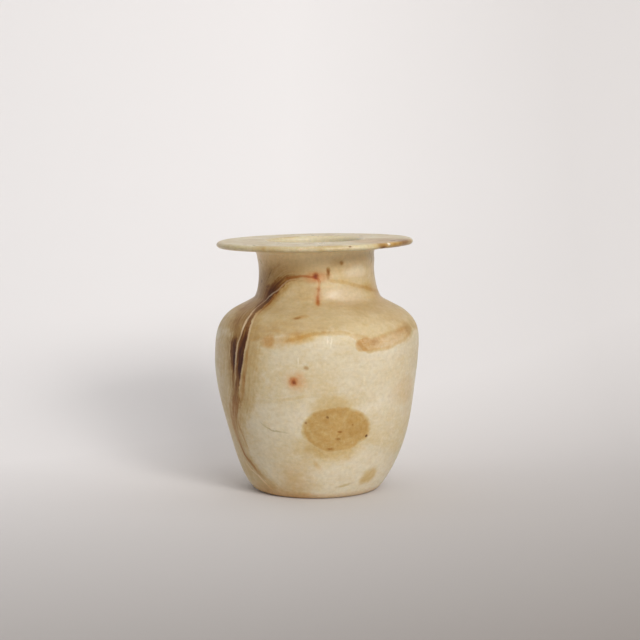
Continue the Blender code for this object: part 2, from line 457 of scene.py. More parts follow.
    def set_by_hand(self, tree: bpy.types.NodeTree, given: Any,
                    jar: bpy.types.NodeSocket) -> bpy.types.NodeSocket:
        """Gives the jar its wandering centre line and tilted rim.

        Args:
            tree: The tree that takes the nodes.
            given: The outputs of its group input.
            jar: The jar's geometry so far.

        Returns:
            The geometry with the errors of hand work.
        """
        place = put(tree, "GeometryNodeInputPosition").outputs[0]
        along = put(tree, "ShaderNodeSeparateXYZ", {0: place}).outputs
        low = put(tree, "ShaderNodeMath", {0: given["Underside"], 1: given["Rim Blend"]},
                  operation="SUBTRACT").outputs[0]
        share = put(tree, "ShaderNodeMapRange",
                    {"Value": along[2], "From Min": low, "From Max": given["Underside"]},
                    interpolation_type="SMOOTHSTEP").outputs[0]
        since = put(tree, "ShaderNodeMath", {0: along[2], 1: given["Drift Start"]},
                    operation="SUBTRACT").outputs[0]
        waves = put(tree, "ShaderNodeMath", {0: since, 1: given["Drift Wave"]},
                    operation="DIVIDE").outputs[0]
        angle = put(tree, "ShaderNodeMath", {0: waves, 1: math.tau}, operation="MULTIPLY").outputs[0]
        sine = put(tree, "ShaderNodeMath", {0: angle}, operation="SINE").outputs[0]
        drift = put(tree, "ShaderNodeMath",
                    {0: sine, 1: given["Centre Drift"], 2: given["Centre Offset"]},
                    operation="MULTIPLY_ADD").outputs[0]
        shift = put(tree, "ShaderNodeMath", {0: share, 1: given["Rim Shift"]},
                    operation="MULTIPLY").outputs[0]
        sideways = put(tree, "ShaderNodeMath", {0: drift, 1: shift}, operation="SUBTRACT").outputs[0]
        slope = put(tree, "ShaderNodeMath", {0: given["Rim Tilt"]}, operation="TANGENT").outputs[0]
        rise = put(tree, "ShaderNodeMath", {0: along[0], 1: slope}, operation="MULTIPLY").outputs[0]
        rise = put(tree, "ShaderNodeMath", {0: rise, 1: share}, operation="MULTIPLY").outputs[0]
        offset = put(tree, "ShaderNodeCombineXYZ", {0: sideways, 2: rise}).outputs[0]
        return put(tree, "GeometryNodeSetPosition", {"Geometry": jar, "Offset": offset}).outputs[0]

    def mesh(self, name: str, stone: bpy.types.Material) -> bpy.types.Mesh:
        """Runs the tree on the outline and returns a plain mesh.

        Args:
            name: The mesh's name.
            stone: The material that the tree sets.

        Returns:
            The turned mesh, with its modifier gone.
        """
        outline = self.form.outline()
        line = bpy.data.meshes.new(name + "_outline")
        line.from_pydata(outline, [(i, i + 1) for i in range(len(outline) - 1)], [])
        guide = bpy.data.objects.new(name + "_outline", line)
        bpy.context.scene.collection.objects.link(guide)
        modifier = guide.modifiers.new("Turning", "NODES")
        modifier.node_group = self.tree()
        values = {label: getattr(self.form, size) for label, size in self.SIZES.items()}
        values |= {"Steps": self.steps, "Unevenness": self.unevenness, "Seed": self.seed,
                   "Stone": stone}
        for item in modifier.node_group.interface.items_tree:
            if item.in_out == "INPUT" and item.name in values:
                modifier[item.identifier] = values[item.name]
        graph = bpy.context.evaluated_depsgraph_get()
        turned = bpy.data.meshes.new_from_object(guide.evaluated_get(graph))
        turned.name = name
        bpy.data.objects.remove(guide)
        bpy.data.meshes.remove(line)
        return turned


class LineKind(Enum):
    """The kinds of thin line, each with its colour, half its width in mm and its softness."""

    RUST = ("rust", "#BC8250", 0.22, 0.7)
    AMBER = ("amber", "#BD9658", 0.30, 1.1)
    CRACK = ("crack", "#A2946E", 0.14, 0.45)


@dataclass(frozen=True)
class Course:
    """A line across the outside: a vein's edge, a thread of colour or a crack."""

    route: tuple[tuple[float, float], ...]  # azimuth in degrees right of front, height in mm
    strength: tuple[float, ...] = (1.0,)  # along the route, evenly spaced
    kind: LineKind = LineKind.AMBER
    fade: float = 2.0  # mm over which it dies out past its ends

    TO_MM = (0.8, 1.2)  # about, for a degree of azimuth and a millimetre of height on a slope

    def samples(self, form: JarForm, spacing: float = 0.5) -> np.ndarray:
        """Points on the outside along a smooth curve through the route.

        Args:
            form: The jar that the course lies on.
            spacing: Millimetres between the points, about.

        Returns:
            The points, one row each, in metres.
        """
        knots = np.array([self.route[0], *self.route, self.route[-1]], dtype=float)
        parts = []
        for a, b, c, d in zip(knots, knots[1:], knots[2:], knots[3:]):
            length = np.linalg.norm((c - b) * self.TO_MM)
            share = np.linspace(0, 1, max(int(length / spacing), 2), endpoint=False)[:, None]
            parts.append(0.5 * (2 * b + (c - a) * share + (2 * a - 5 * b + 4 * c - d) * share ** 2
                                + (3 * b - 3 * c + d - a) * share ** 3))
        route = np.vstack([*parts, knots[-1:]])
        return form.place(route[:, 0], route[:, 1])


@dataclass
class Surface:
    """The turned mesh's vertices, for what is cut into or written on them."""

    mesh: bpy.types.Mesh
    form: JarForm

    FAR_MM = 1e3  # stands for out of reach
    FACING = -0.2  # a surface turned further from the course than this is the hollow's
    FADE_FROM = 0.6  # share of the reach past which a course's strength fades

    def __post_init__(self) -> None:
        """Reads the vertices and their normals."""
        count = len(self.mesh.vertices)
        self.places = np.empty(count * 3)
        self.mesh.vertices.foreach_get("co", self.places)
        self.places = self.places.reshape(-1, 3)
        self.normals = np.empty(count * 3)
        self.mesh.vertices.foreach_get("normal", self.normals)
        self.normals = self.normals.reshape(-1, 3)

    def from_course(self, course: Course, reach: float) -> tuple[np.ndarray, np.ndarray, np.ndarray]:
        """Measures the vertices near a course against it.

        Args:
            course: The line to measure from.
            reach: Millimetres past which it has no effect.

        Returns:
            The signed distance in mm, positive to the left of a route that runs down, the
            millimetres along it, and the course's strength there.
        """
        line = course.samples(self.form)
        count = len(self.places)
        signed, along_mm, strength = np.full(count, self.FAR_MM), np.zeros(count), np.zeros(count)
        beyond = self.places - np.clip(self.places, line.min(axis=0), line.max(axis=0))
        near = np.flatnonzero(np.linalg.norm(beyond, axis=1) < reach * MM)
        spots = self.places[near]
        best, index = np.full(len(near), np.inf), np.zeros(len(near), dtype=int)
        for number, spot in enumerate(line):
            distance = ((spots - spot) ** 2).sum(axis=1)
            closer = distance < best
            best[closer], index[closer] = distance[closer], number
        best = np.sqrt(best) / MM
        along = np.gradient(line, axis=0)
        along /= np.linalg.norm(along, axis=1, keepdims=True)
        outwards = line * (1.0, 1.0, 0.0)
        outwards /= np.linalg.norm(outwards, axis=1, keepdims=True)
        side = np.cross(along, outwards)
        side /= np.linalg.norm(side, axis=1, keepdims=True)
        across = ((spots - line[index]) * side[index]).sum(axis=1) / MM
        ends = (index == 0) | (index == len(line) - 1)
        steps = np.linalg.norm(np.diff(line, axis=0), axis=1) / MM
        lengths = np.concatenate([[0.0], np.cumsum(steps)])
        given = np.linspace(0, lengths[-1], len(course.strength))
        power = np.interp(lengths[index], given, course.strength)
        past = np.sqrt(np.clip(best ** 2 - across ** 2, 0, None))
        power = power * np.where(ends, 1.0 - eased(past / course.fade), 1.0)
        facing = (self.normals[near] * outwards[index]).sum(axis=1) > self.FACING
        signed[near] = np.where(ends, np.copysign(best, across), across)
        along_mm[near] = lengths[index]
        past_fade = np.abs(signed[near]) - reach * self.FADE_FROM
        fades = 1.0 - eased(past_fade / (reach * (1 - self.FADE_FROM)))
        strength[near] = np.where(facing, power * fades, 0.0)
        return signed, along_mm, strength

    def write(self, name: str, values: np.ndarray) -> None:
        """Stores one number for each vertex under this attribute name."""
        attribute = self.mesh.attributes.new(name, "FLOAT", "POINT")
        attribute.data.foreach_set("value", np.ascontiguousarray(values, dtype=np.float32))

    def write_lines(self, kind: LineKind, courses: Iterable[Course], reach: float = 4.0) -> None:
        """Writes the nearest line of one kind as a distance and a strength.

        Args:
            kind: Which lines.
            courses: All the courses.
            reach: Millimetres past which a course has no effect.
        """
        nearest = np.full(len(self.places), self.FAR_MM)
        power = np.zeros(len(self.places))
        for course in (c for c in courses if c.kind is kind):
            signed, _, strength = self.from_course(course, reach)
            closer = np.abs(signed) < np.abs(nearest)
            nearest = np.where(closer, signed, nearest)
            power = np.where(closer, strength, power)
        self.write(kind.value[0] + "_mm", nearest)
        self.write(kind.value[0] + "_power", power)

    def push(self, depth: np.ndarray) -> None:
        """Cuts the surface back along its normals by this depth in metres at each vertex."""
        self.places -= self.normals * depth[:, None]
        self.mesh.vertices.foreach_set("co", np.ascontiguousarray(self.places.ravel()))
        self.mesh.update()


class MarkKind(Enum):
    """The kinds of spot and patch, mostly in the stone, each with the colour that it gives cream."""

    HONEY = "#BD995C"
    TAN = "#C7A16D"
    AMBER = "#C59C50"
    OLIVE = "#AB925F"
    BARK = "#9A7446"
    BLUSH = "#D0B184"
    PEACH = "#D29A6C"
    RUST = "#B26A3A"
    UMBER = "#8A5E30"
    BROWN = "#54341C"
    CHALK = "#EDE4D2"


@dataclass(frozen=True)
class Mark:
    """A rounded body of other colour, cut through by the surface: mostly in the stone, a few painted
    shade and highlight.
    """

    kind: MarkKind
    azimuth: float  # degrees right of front
    height: float  # mm
    across: float  # half its width, mm
    upright: float  # half its height, mm
    turn: float = 0.0  # degrees clockwise
    strength: float = 1.0
    softness: float = 0.5  # share of its size over which its edge fades, each way

    def matrix(self, form: JarForm) -> Matrix:
        """Where the mark's body lies: its X is across, its Y upright and its Z outwards.

        Args:
            form: The jar that the mark lies on.

        Returns:
            The body's place and turn, in metres.
        """
        spot = Vector(form.place(self.azimuth, self.height))
        above = Vector(form.place(self.azimuth, self.height + 0.5))
        beside = Vector(form.place(self.azimuth + 0.5, self.height))
        right = (beside - spot).normalized()
        up = (above - spot).normalized()
        out = right.cross(up).normalized()
        turned = Matrix.Rotation(math.radians(-self.turn), 3, out)
        right, up = turned @ right, turned @ out.cross(right)
        axes = Matrix((right, up, out)).transposed()
        return Matrix.Translation(spot) @ axes.to_4x4()


class VeinTone(Enum):
    """What each kind of band in the vein makes of cream. The pale ones lie over it instead."""

    GOLD = "#BA9962"
    TAN = "#BE9F6E"
    MAUVE = "#A08050"
    RUSSET = "#9E6430"
    WALNUT = "#875A28"
    UMBER = "#6A4218"
    PALE = "#DAC3A0"


@dataclass(frozen=True)
class Ribbon:
    """A band of colour beside the vein's edge, which swells, narrows and fades on its way."""

    tone: VeinTone
    stops: tuple[tuple[float, float, float, float], ...]  # mm along, mm across, half width, strength
    crisp: float = 0.35  # share of its half width over which its right side fades
    soft: float = 0.6  # the same for its left side

    def measure(self, across: np.ndarray, along: np.ndarray) -> tuple[np.ndarray, np.ndarray]:
        """Where points lie in the ribbon.

        Args:
            across: Millimetres to the left of the vein's edge.
            along: Millimetres along it.

        Returns:
            The place across it, from -1 at its right side to 1 at its left, and its strength.
        """
        mm, centre, half, strength = np.array(self.stops, dtype=float).T
        share = (across - np.interp(along, mm, centre)) / np.interp(along, mm, half)
        return np.clip(share, -20, 20), np.interp(along, mm, strength)


@dataclass(frozen=True)
class Veins:
    """The courses of the stone's veins, threads and cracks.

    Those in view are read off the photograph, and those at the back are made up.
    """

    edge: Course = Course((
        (8, 111), (-2, 111.7), (-11, 112), (-26, 111), (-33.5, 108.8), (-42, 105), (-47.5, 101),
        (-47, 97), (-45.5, 93), (-43.5, 88.5), (-42.5, 82), (-43.5, 75), (-45, 67), (-48, 56),
        (-52, 49), (-56, 43), (-58.5, 37), (-59, 31), (-58, 24.5), (-55, 19), (-51, 15), (-46, 10),
        (-39.5, 4)))
    ribbons: tuple[Ribbon, ...] = (
        # the golden stain on both sides of the vein
        Ribbon(VeinTone.TAN, (
            (8, 5, 4, 0), (20, 8, 8, 0.2), (32, 12, 10, 0.35), (45, 13, 9, 0.5), (60, 15, 11, 0.65),
            (75, 15, 13, 0.7), (90, 11, 12, 0.6), (105, 7, 10, 0.5), (120, 6, 9, 0.4),
            (135, 6, 8, 0.4), (148, 4, 7, 0.1)), 0.5, 0.8),
        Ribbon(VeinTone.GOLD, (
            (2, 0, 2, 0), (12, -0.5, 2, 0.3), (24, -1.5, 2.4, 0.75), (34, -2.0, 3.0, 0.8),
            (44, -1.8, 2.6, 0.55), (54, -2.2, 3.0, 0.45), (62, -3.4, 4.4, 0.6), (70, -4.2, 5.4, 0.65),
            (80, -4.5, 6, 0.7), (90, -4.5, 6, 0.6), (100, -4, 5, 0.55), (112, -2.5, 3.6, 0.45),
            (125, -1, 2.4, 0.3), (138, -2, 2.8, 0.3), (148, -3.5, 3.4, 0.35)), 0.95, 0.3),
        # the brown that spreads to the left
        Ribbon(VeinTone.MAUVE, (
            (8, 2, 3, 0), (16, 3.5, 3.5, 0.25), (24, 5.5, 5.5, 0.5), (32, 8, 7.5, 0.8),
            (42, 8.5, 7.5, 0.7), (50, 7.5, 5.5, 0.8), (58, 7.5, 4.5, 0.75), (66, 9, 5, 0.6),
            (76, 8, 4.5, 0.55), (86, 5.5, 4, 0.5), (96, 2.5, 4, 0.35), (104, 1.5, 3, 0.25),
            (112, 2, 2.5, 0.15)), 0.3, 0.95),
        # the dark heart of the vein, first under the neck and then down the side
        Ribbon(VeinTone.WALNUT, (
            (12, 0.8, 1.0, 0), (18, 1.0, 1.6, 0.35), (24, 1.8, 2.4, 0.55), (31, 2.8, 3.4, 0.9),
            (38, 2.8, 2.8, 0.75), (44, 2.0, 2.2, 0.6), (50, 1.6, 1.8, 0.65), (58, 2.0, 2.1, 0.8),
            (65, 2.9, 2.9, 0.95), (74, 2.5, 2.6, 1.0), (82, 2.0, 2.0, 0.9), (88, 2.2, 1.6, 0.65),
            (94, 2.4, 1.5, 0.4), (100, 2, 1.6, 0)), 0.15, 0.45),
        Ribbon(VeinTone.UMBER, (
            (20, 1.4, 0.9, 0), (26, 1.9, 1.5, 0.3), (31, 2.2, 1.6, 0.5), (37, 1.4, 1.0, 0.3),
            (43, 1.0, 0.8, 0.1), (55, 0.8, 0.7, 0.2), (63, 1.4, 1.3, 0.65), (70, 1.9, 1.9, 0.85),
            (78, 1.5, 1.5, 0.85), (83, 1.2, 0.9, 0.3), (89, 1.5, 0.6, 0)), 0.25, 0.6),
        # the second dark band, left of the white seam
        Ribbon(VeinTone.WALNUT, (
            (58, 8.5, 1.2, 0), (62, 9.2, 2.2, 0.55), (67, 9.4, 2.8, 0.95), (73, 8, 2.3, 1.0),
            (78, 6.9, 1.6, 0.9), (83, 6, 1.1, 0.35), (88, 5.2, 0.9, 0.45), (94, 4.6, 0.9, 0.3),
            (101, 4, 1, 0)), 0.4, 0.5),
        Ribbon(VeinTone.UMBER, (
            (61, 8.6, 0.7, 0), (66, 8.6, 1.2, 0.45), (72, 7.4, 1.0, 0.6), (77, 6.6, 0.8, 0.6),
            (82, 6, 0.6, 0))),
        # golden threads and rusty stripes
        Ribbon(VeinTone.RUSSET, (
            (24, -0.8, 0.8, 0), (30, -1.2, 1.1, 0.5), (36, -1.3, 1.0, 0.6), (42, -1.2, 0.9, 0.4),
            (50, -1, 0.7, 0)), 0.6, 0.6),
        Ribbon(VeinTone.RUSSET, (
            (62, -1.9, 0.6, 0), (69, -2.1, 0.8, 0.45), (75, -2.2, 0.8, 0.25), (81, -2.4, 0.9, 0.4),
            (88, -2.3, 1.1, 0.3), (96, -2, 1.2, 0)), 0.9, 0.9),
        Ribbon(VeinTone.RUSSET, (
            (92, 1.5, 3.0, 0), (98, 2.4, 3.0, 0.4), (105, 1.6, 1.8, 0.4), (111, 2.6, 1.4, 0.3),
            (118, 2.7, 1.1, 0.35), (123, 2.2, 0.9, 0.5), (127, 2.0, 0.8, 0.65), (131, 0.3, 0.9, 0.4),
            (137, -0.4, 1.0, 0.2), (143, -2.4, 1.2, 0.1), (147, -4.4, 1.2, 0)), 0.6, 0.6),
        Ribbon(VeinTone.RUSSET, (
            (106, -0.5, 0.5, 0), (112, -2.5, 0.6, 0.25), (118, -3.9, 0.6, 0.3),
            (125, -4.3, 0.6, 0)), 0.6, 0.6),
        Ribbon(VeinTone.RUSSET, (
            (98, 6.2, 1.2, 0), (104, 5.8, 1.2, 0.25), (115, 4.6, 0.9, 0.3), (123, 4.4, 0.8, 0)),
            0.6, 0.6),
        # white seams
        Ribbon(VeinTone.PALE, (
            (6, 0, 0.4, 0), (20, 0, 0.4, 0.3), (27, -0.4, 0.4, 0.4), (32, 1.2, 0.4, 0.5),
            (35, 3.4, 0.45, 0.3), (41, 4.5, 0.5, 0.4), (47, 3.0, 0.6, 0.9), (52, 3.6, 0.65, 1.0),
            (57, 4.5, 0.55, 0.85), (61, 5.0, 0.4, 0.5), (65, 5.8, 0.5, 0.75), (72, 5.6, 0.6, 0.75),
            (78, 5.0, 0.6, 0.35), (83, 4.0, 0.6, 0.3), (92, 4.3, 0.4, 0)), 0.6, 0.6),
        Ribbon(VeinTone.PALE, (
            (40, -0.7, 0.6, 0), (55, -0.8, 0.6, 0.6), (62, -0.7, 0.6, 0.65), (67, -0.5, 0.5, 0.5),
            (72, -0.3, 0.4, 0.4), (79, -0.2, 0.4, 0.4), (85, 0.3, 0.4, 0.35), (91, 0.6, 0.4, 0)),
            0.6, 0.6),
        Ribbon(VeinTone.PALE, (
            (62, 11.2, 0.5, 0), (68, 12.2, 0.5, 0.3), (73, 11.4, 0.5, 0.3), (80, 9.2, 0.5, 0)),
            0.6, 0.6),
        Ribbon(VeinTone.PALE, (
            (127, 5.2, 0.5, 0), (134, 4.2, 0.6, 0.6), (140, 1.1, 0.6, 0.9), (145, 0.4, 0.6, 0.9),
            (150, 0, 0.5, 0.5)), 0.6, 0.6),
    )
    lines: tuple[Course, ...] = (
        # the thin red threads of the neck
        Course(((-30, 111.9), (-18, 112.9), (-11, 113), (-4, 112.6), (1.5, 111.8), (3, 110.4)),
               (0.6, 0.55, 0.5, 0.6, 0.8, 0.5), LineKind.RUST),
        Course(((3, 110.6), (2.4, 108.3), (1.5, 106.3), (0.6, 104), (0.2, 102), (0.3, 99)),
               (0.3, 0.25, 0.15, 0.3, 0.3, 0.2), LineKind.RUST),
        # the amber strand round the neck's right side
        Course(((14, 110.9), (24, 110.2), (33, 108.9), (45, 107.4), (57, 106), (72, 104),
                (92, 103), (110, 101), (128, 97)),
               (0.3, 0.3, 0.3, 0.35, 0.4, 0.3, 0.3, 0.3, 0.2)),
        # the shoulder's boundary
        Course(((-17.5, 82.7), (-10, 84.6), (-1.8, 86.5), (5, 86.7), (12, 86.9), (17, 86.2),
                (20.5, 84.8), (22.6, 82.8), (25.5, 79.2), (28.9, 77.4), (33, 77.7), (38, 78),
                (43.3, 78.3), (48.1, 79.6), (54.6, 80.7), (60.8, 82.8), (67.8, 85.6)),
               (0.2, 0.35, 0.4, 0.4, 0.4, 0.35, 0.3, 0.25, 0.35, 0.4, 0.3, 0.25, 0.2, 0.2, 0.2,
                0.25, 0.2)),
        Course(((19, 85.8), (24.9, 84.6), (29.8, 84.3), (36.6, 84.4), (44.5, 85.3), (54, 86.3),
                (62.6, 86.8)), (0.1, 0.2, 0.1, 0.2, 0.1, 0.2, 0.1)),
        Course(((-41, 50), (-20, 53.3), (-9, 55), (5, 56.3)), (0.05, 0.1, 0.12, 0.05)),
        # open cracks
        Course(((-35.5, 40.4), (-30, 37.7), (-27, 36.9), (-22.5, 36.6), (-18, 36.3)),
               (0.15, 0.4, 0.5, 0.3, 0.2), LineKind.CRACK),
        Course(((-55, 111.2), (-52, 113.4), (-49.6, 115.6)), (0.5, 0.8, 0.5), LineKind.CRACK),
        # the back, plainer
        Course(((150, 108), (158, 101), (166, 93), (165, 82), (158, 70), (161, 58), (170, 47)),
               (0.3, 0.6, 0.7, 0.6, 0.5, 0.3, 0.1)),
        Course(((-150, 62), (-138, 55), (-128, 51), (-112, 50)), (0.2, 0.5, 0.5, 0.2)),
    )


# short, for the long list of marks
M = MarkKind


@dataclass(frozen=True)
class Zone:
    """A span of height over which the stone takes another colour."""

    start: float  # metres above the foot
    full: float  # where the colour is full, above or below the start
    colour: str
    share: float  # of the colour, where it is full


@dataclass(frozen=True)
class AlabasterFinish:
    """Calcite alabaster, ground with sand and rubbed to a soft gloss.

    To the eye it is cream and a little see-through, clouded with tan and amber, with fine
    level rubbing lines, a sugary grain, and iron-brown veins that the gloss lies over.
    """

    cream: str = "#CEC0A3"
    pale_cream: str = "#D5C9B0"
    warm_cream: str = "#CBB892"
    matched_cream: str = "#D9CAAB"  # the cream on which the stains' colours were matched
    amber: str = "#CEB78B"
    deep_amber: str = "#C0A271"
    rim_pale: str = "#D0C3A1"
    # partly painted light: the hollow's paler cream lifts the shade inside the mouth
    rim_tan: str = "#B39768"
    inside_cream: str = "#D6CAAC"
    mottle_dark: str = "#CFB88A"
    mottle_pale: str = "#D8D0BD"
    roughness: float = 0.35  # of the body, before its unevenness is added
    neck_roughness: float = 0.17  # better rubbed
    gloss_change: tuple[float, float] = (0.094, 0.101)  # heights in metres between the two
    uneven_gloss: float = 0.3  # times noise from 0 to 1
    specular_level: float = 0.30
    glow: float = 0.30  # share of the light that comes out of the stone's depth
    glow_radius: tuple[float, float, float] = (1.0, 0.6, 0.32)  # red goes deepest
    glow_mm: float = 1.8
    grain_mm: float = 1.8  # crystals show as sugar about this coarse
    rub_mm: float = 0.8  # spacing of the rubbing lines; finer ones would not show
    cloud_mm: float = 34.0
    mottle_mm: float = 4.0
    large_mm: float = 2.5  # a mark whose narrower half is over this has a far wandering edge
    mark_depth: float = 1.6  # how deep a mark goes, as a share of its longer half
    # partly painted shade: a faint olive band high on the neck, where the rim's shadow falls
    neck_zone: Zone = Zone(0.113, 0.118, "#C2A774", 0.15)
    zones_over: tuple[Zone, ...] = (
        Zone(0.113, 0.124, "#F0D9AC", 0.9),  # painted light: the neck made paler under the rim, against the rim's shadow
        Zone(0.004, 0.001, "#D2B083", 0.7),  # the heel, tan: partly the stone's colour, partly painted contact shade
    )
    rim_zone: Zone = Zone(0.1255, 0.1268, "#C3B188", 1.0)
    marks: tuple[Mark, ...] = (
        # the honey patch low on the front, its halo and its dark specks
        Mark(M.HONEY, 11.3, 38.2, 17.0, 12.0, softness=0.10),
        Mark(M.HONEY, 3.0, 43.0, 6.4, 5.8, softness=0.2),
        Mark(M.HONEY, 20.0, 41.5, 6.5, 7.0, softness=0.15),
        Mark(M.HONEY, 8.7, 49.2, 10.0, 6.2, strength=0.42, softness=0.4),
        Mark(M.HONEY, 8.0, 28.6, 13.5, 7.0, strength=0.6, softness=0.55),
        Mark(M.HONEY, 0.0, 22.5, 7.0, 5.5, strength=0.22, softness=0.8),
        Mark(M.BROWN, 6.2, 44.8, 0.6, 0.6, strength=0.32, softness=0.8),
        Mark(M.BROWN, -6.6, 41.9, 0.5, 0.5, strength=0.25, softness=0.8),
        Mark(M.UMBER, 13.2, 37.1, 1.2, 0.45, strength=0.4, softness=0.8),
        Mark(M.UMBER, 12.4, 33.4, 1.0, 0.6, strength=0.4, softness=0.8),
        Mark(M.UMBER, 7.9, 28.3, 1.4, 0.6, strength=0.35, softness=0.8),
        Mark(M.BROWN, 30.8, 34.0, 0.6, 0.65, strength=0.65),
        Mark(M.UMBER, 21.2, 40.4, 0.6, 0.5, strength=0.3, softness=0.8),
        # the small honey patch and the marks by the foot
        Mark(M.HONEY, 41.5, 11.3, 4.2, 5.0, turn=48, strength=0.6, softness=0.5),
        Mark(M.OLIVE, 21.5, 7.6, 3.2, 0.75, turn=-14, strength=0.5, softness=0.9),
        Mark(M.TAN, -17.5, 10.0, 8.0, 9.0, strength=0.34, softness=0.85),
        # partly painted contact shade: tan low along the foot's left
        Mark(M.TAN, -15.0, 1.8, 8.5, 3.0, strength=0.6, softness=0.7),
        Mark(M.TAN, -36.0, 3.2, 14.0, 4.2, strength=0.6, softness=0.7),
        Mark(M.TAN, -0.6, 19.6, 0.9, 2.2, turn=-30, strength=0.35, softness=0.9),
        # the tan band round the shoulder's edge
        Mark(M.TAN, 27.6, 80.8, 5.4, 3.8, strength=0.85, softness=0.2),
        Mark(M.TAN, 33.5, 81.0, 5.0, 3.4, strength=0.75, softness=0.35),
        Mark(M.TAN, 40.5, 81.3, 6.0, 3.4, strength=0.62, softness=0.4),
        Mark(M.TAN, 48.5, 82.6, 6.5, 3.0, strength=0.6, softness=0.4),
        Mark(M.TAN, 58.0, 84.8, 6.5, 4.0, turn=-15, strength=0.55, softness=0.6),
        Mark(M.OLIVE, 64.0, 86.0, 4.0, 3.4, strength=0.4, softness=0.6),
        Mark(M.OLIVE, 73.0, 88.0, 3.5, 3.0, strength=0.3, softness=0.6),
        Mark(M.BARK, 33.0, 82.0, 2.4, 1.6, strength=0.22, softness=0.8),
        Mark(M.TAN, -27.5, 82.2, 3.8, 2.9, strength=1.0, softness=0.5),
        Mark(M.TAN, -15.0, 83.6, 10.0, 2.8, turn=-9, strength=0.6, softness=0.8),
        Mark(M.AMBER, -8.0, 84.8, 7.5, 2.2, turn=-10, strength=0.4, softness=0.8),
        Mark(M.BLUSH, 62.0, 54.5, 13.0, 7.0, strength=0.4, softness=0.35),
        Mark(M.CHALK, 48.0, 62.0, 12.0, 24.0, strength=0.16, softness=0.8),
        # rust spots on the belly
        Mark(M.PEACH, -10.9, 62.8, 4.6, 3.9, strength=0.5, softness=0.8),
        Mark(M.RUST, -12.2, 62.9, 1.7, 1.7, strength=0.6, softness=0.9),
        Mark(M.BROWN, -11.8, 62.4, 0.8, 1.0, strength=0.25, softness=0.8),
        Mark(M.UMBER, -5.3, 69.9, 1.1, 0.7, turn=30, strength=0.35, softness=0.8),
        # the neck
        # painted shade: faint brown high on the neck's left, under the rim
        Mark(M.BARK, -42.0, 117.0, 13.0, 6.0, strength=0.1, softness=0.8),
        Mark(M.PEACH, 0.0, 112.6, 5.2, 2.4, strength=0.75, softness=0.8),
        Mark(M.RUST, -0.4, 113.2, 1.4, 1.4, strength=0.6, softness=0.9),
        Mark(M.UMBER, -0.4, 113.3, 1.0, 1.1, strength=0.5, softness=0.9),
        Mark(M.UMBER, 11.7, 116.0, 0.8, 1.3, strength=0.55, softness=0.8),
        Mark(M.BARK, 11.3, 113.7, 0.8, 2.0, strength=0.6, softness=0.8),
        Mark(M.PEACH, 11.0, 113.8, 1.7, 2.6, strength=0.25),
        Mark(M.UMBER, 25.5, 119.6, 0.9, 0.9, strength=0.5, softness=0.8),
        Mark(M.BARK, 21.5, 119.8, 3.6, 2.2, strength=0.2, softness=0.7),
        Mark(M.PEACH, 0.6, 102.5, 1.8, 4.8, strength=0.35, softness=0.7),
        Mark(M.RUST, 1.4, 106.6, 0.7, 1.4, strength=0.35, softness=0.9),
        Mark(M.RUST, 0.1, 100.6, 0.9, 2.2, strength=0.5, softness=0.8),
        Mark(M.AMBER, 57.4, 106.3, 3.4, 2.2, strength=0.25, softness=0.8),
        Mark(M.BROWN, -69.0, 109.0, 0.7, 0.7, strength=0.4),
        Mark(M.UMBER, -13.4, 93.5, 1.4, 0.7, turn=-15, strength=0.4, softness=0.9),
        Mark(M.TAN, -11.0, 94.0, 3.4, 1.5, turn=-20, strength=0.5, softness=0.7),
        Mark(M.CHALK, 42.0, 115.0, 6.5, 3.0, strength=0.35, softness=0.6),
        # painted highlight: a faint pale patch at the neck's root, where the key light's gloss falls
        Mark(M.CHALK, 30.0, 103.0, 10.0, 4.5, strength=0.25, softness=0.8),
        # the rim and its chip
        Mark(M.TAN, 58.0, 128.6, 17.0, 3.0, strength=0.6, softness=0.3),
        Mark(M.AMBER, 55.0, 128.2, 7.0, 1.0, strength=0.4, softness=0.8),
        Mark(M.BARK, 41.8, 128.3, 2.2, 1.6, strength=0.4, softness=0.7),
        Mark(M.BARK, 66.0, 129.4, 5.0, 1.3, strength=0.45, softness=0.7),
        # painted shadow: the dark speck under the chip's edge
        Mark(M.UMBER, 44.0, 127.3, 1.6, 0.5, strength=0.6),
        Mark(M.CHALK, 47.6, 128.9, 1.2, 0.8, strength=0.85),
        Mark(M.OLIVE, 70.0, 129.4, 11.0, 2.4, strength=0.55, softness=0.5),
        Mark(M.BROWN, 20.3, 128.9, 0.6, 0.35, strength=0.4),
        Mark(M.TAN, -29.5, 127.8, 1.2, 1.8, strength=0.3),
        # light scratches
        Mark(M.CHALK, 7.5, 82.4, 0.35, 2.4, turn=8, strength=0.45),
        Mark(M.CHALK, 5.4, 83.0, 0.3, 1.8, turn=4, strength=0.35),
        Mark(M.CHALK, -9.8, 73.3, 0.3, 2.2, strength=0.4),
        # the back and the sides, plainer
        Mark(M.TAN, 118.0, 84.0, 11.0, 3.0, strength=0.5, softness=0.4),
        Mark(M.TAN, -120.0, 83.0, 9.0, 2.6, strength=0.45, softness=0.4),
        Mark(M.HONEY, 176.0, 33.0, 9.0, 6.5, strength=0.6, softness=0.3),
        Mark(M.BLUSH, -148.0, 40.0, 7.0, 5.0, strength=0.6, softness=0.35),
        Mark(M.RUST, 128.0, 61.0, 0.9, 1.0, strength=0.8),
        Mark(M.PEACH, 128.5, 61.0, 3.0, 2.6, strength=0.4, softness=0.7),
        Mark(M.TAN, -172.0, 3.0, 9.0, 3.0, strength=0.7),
    )

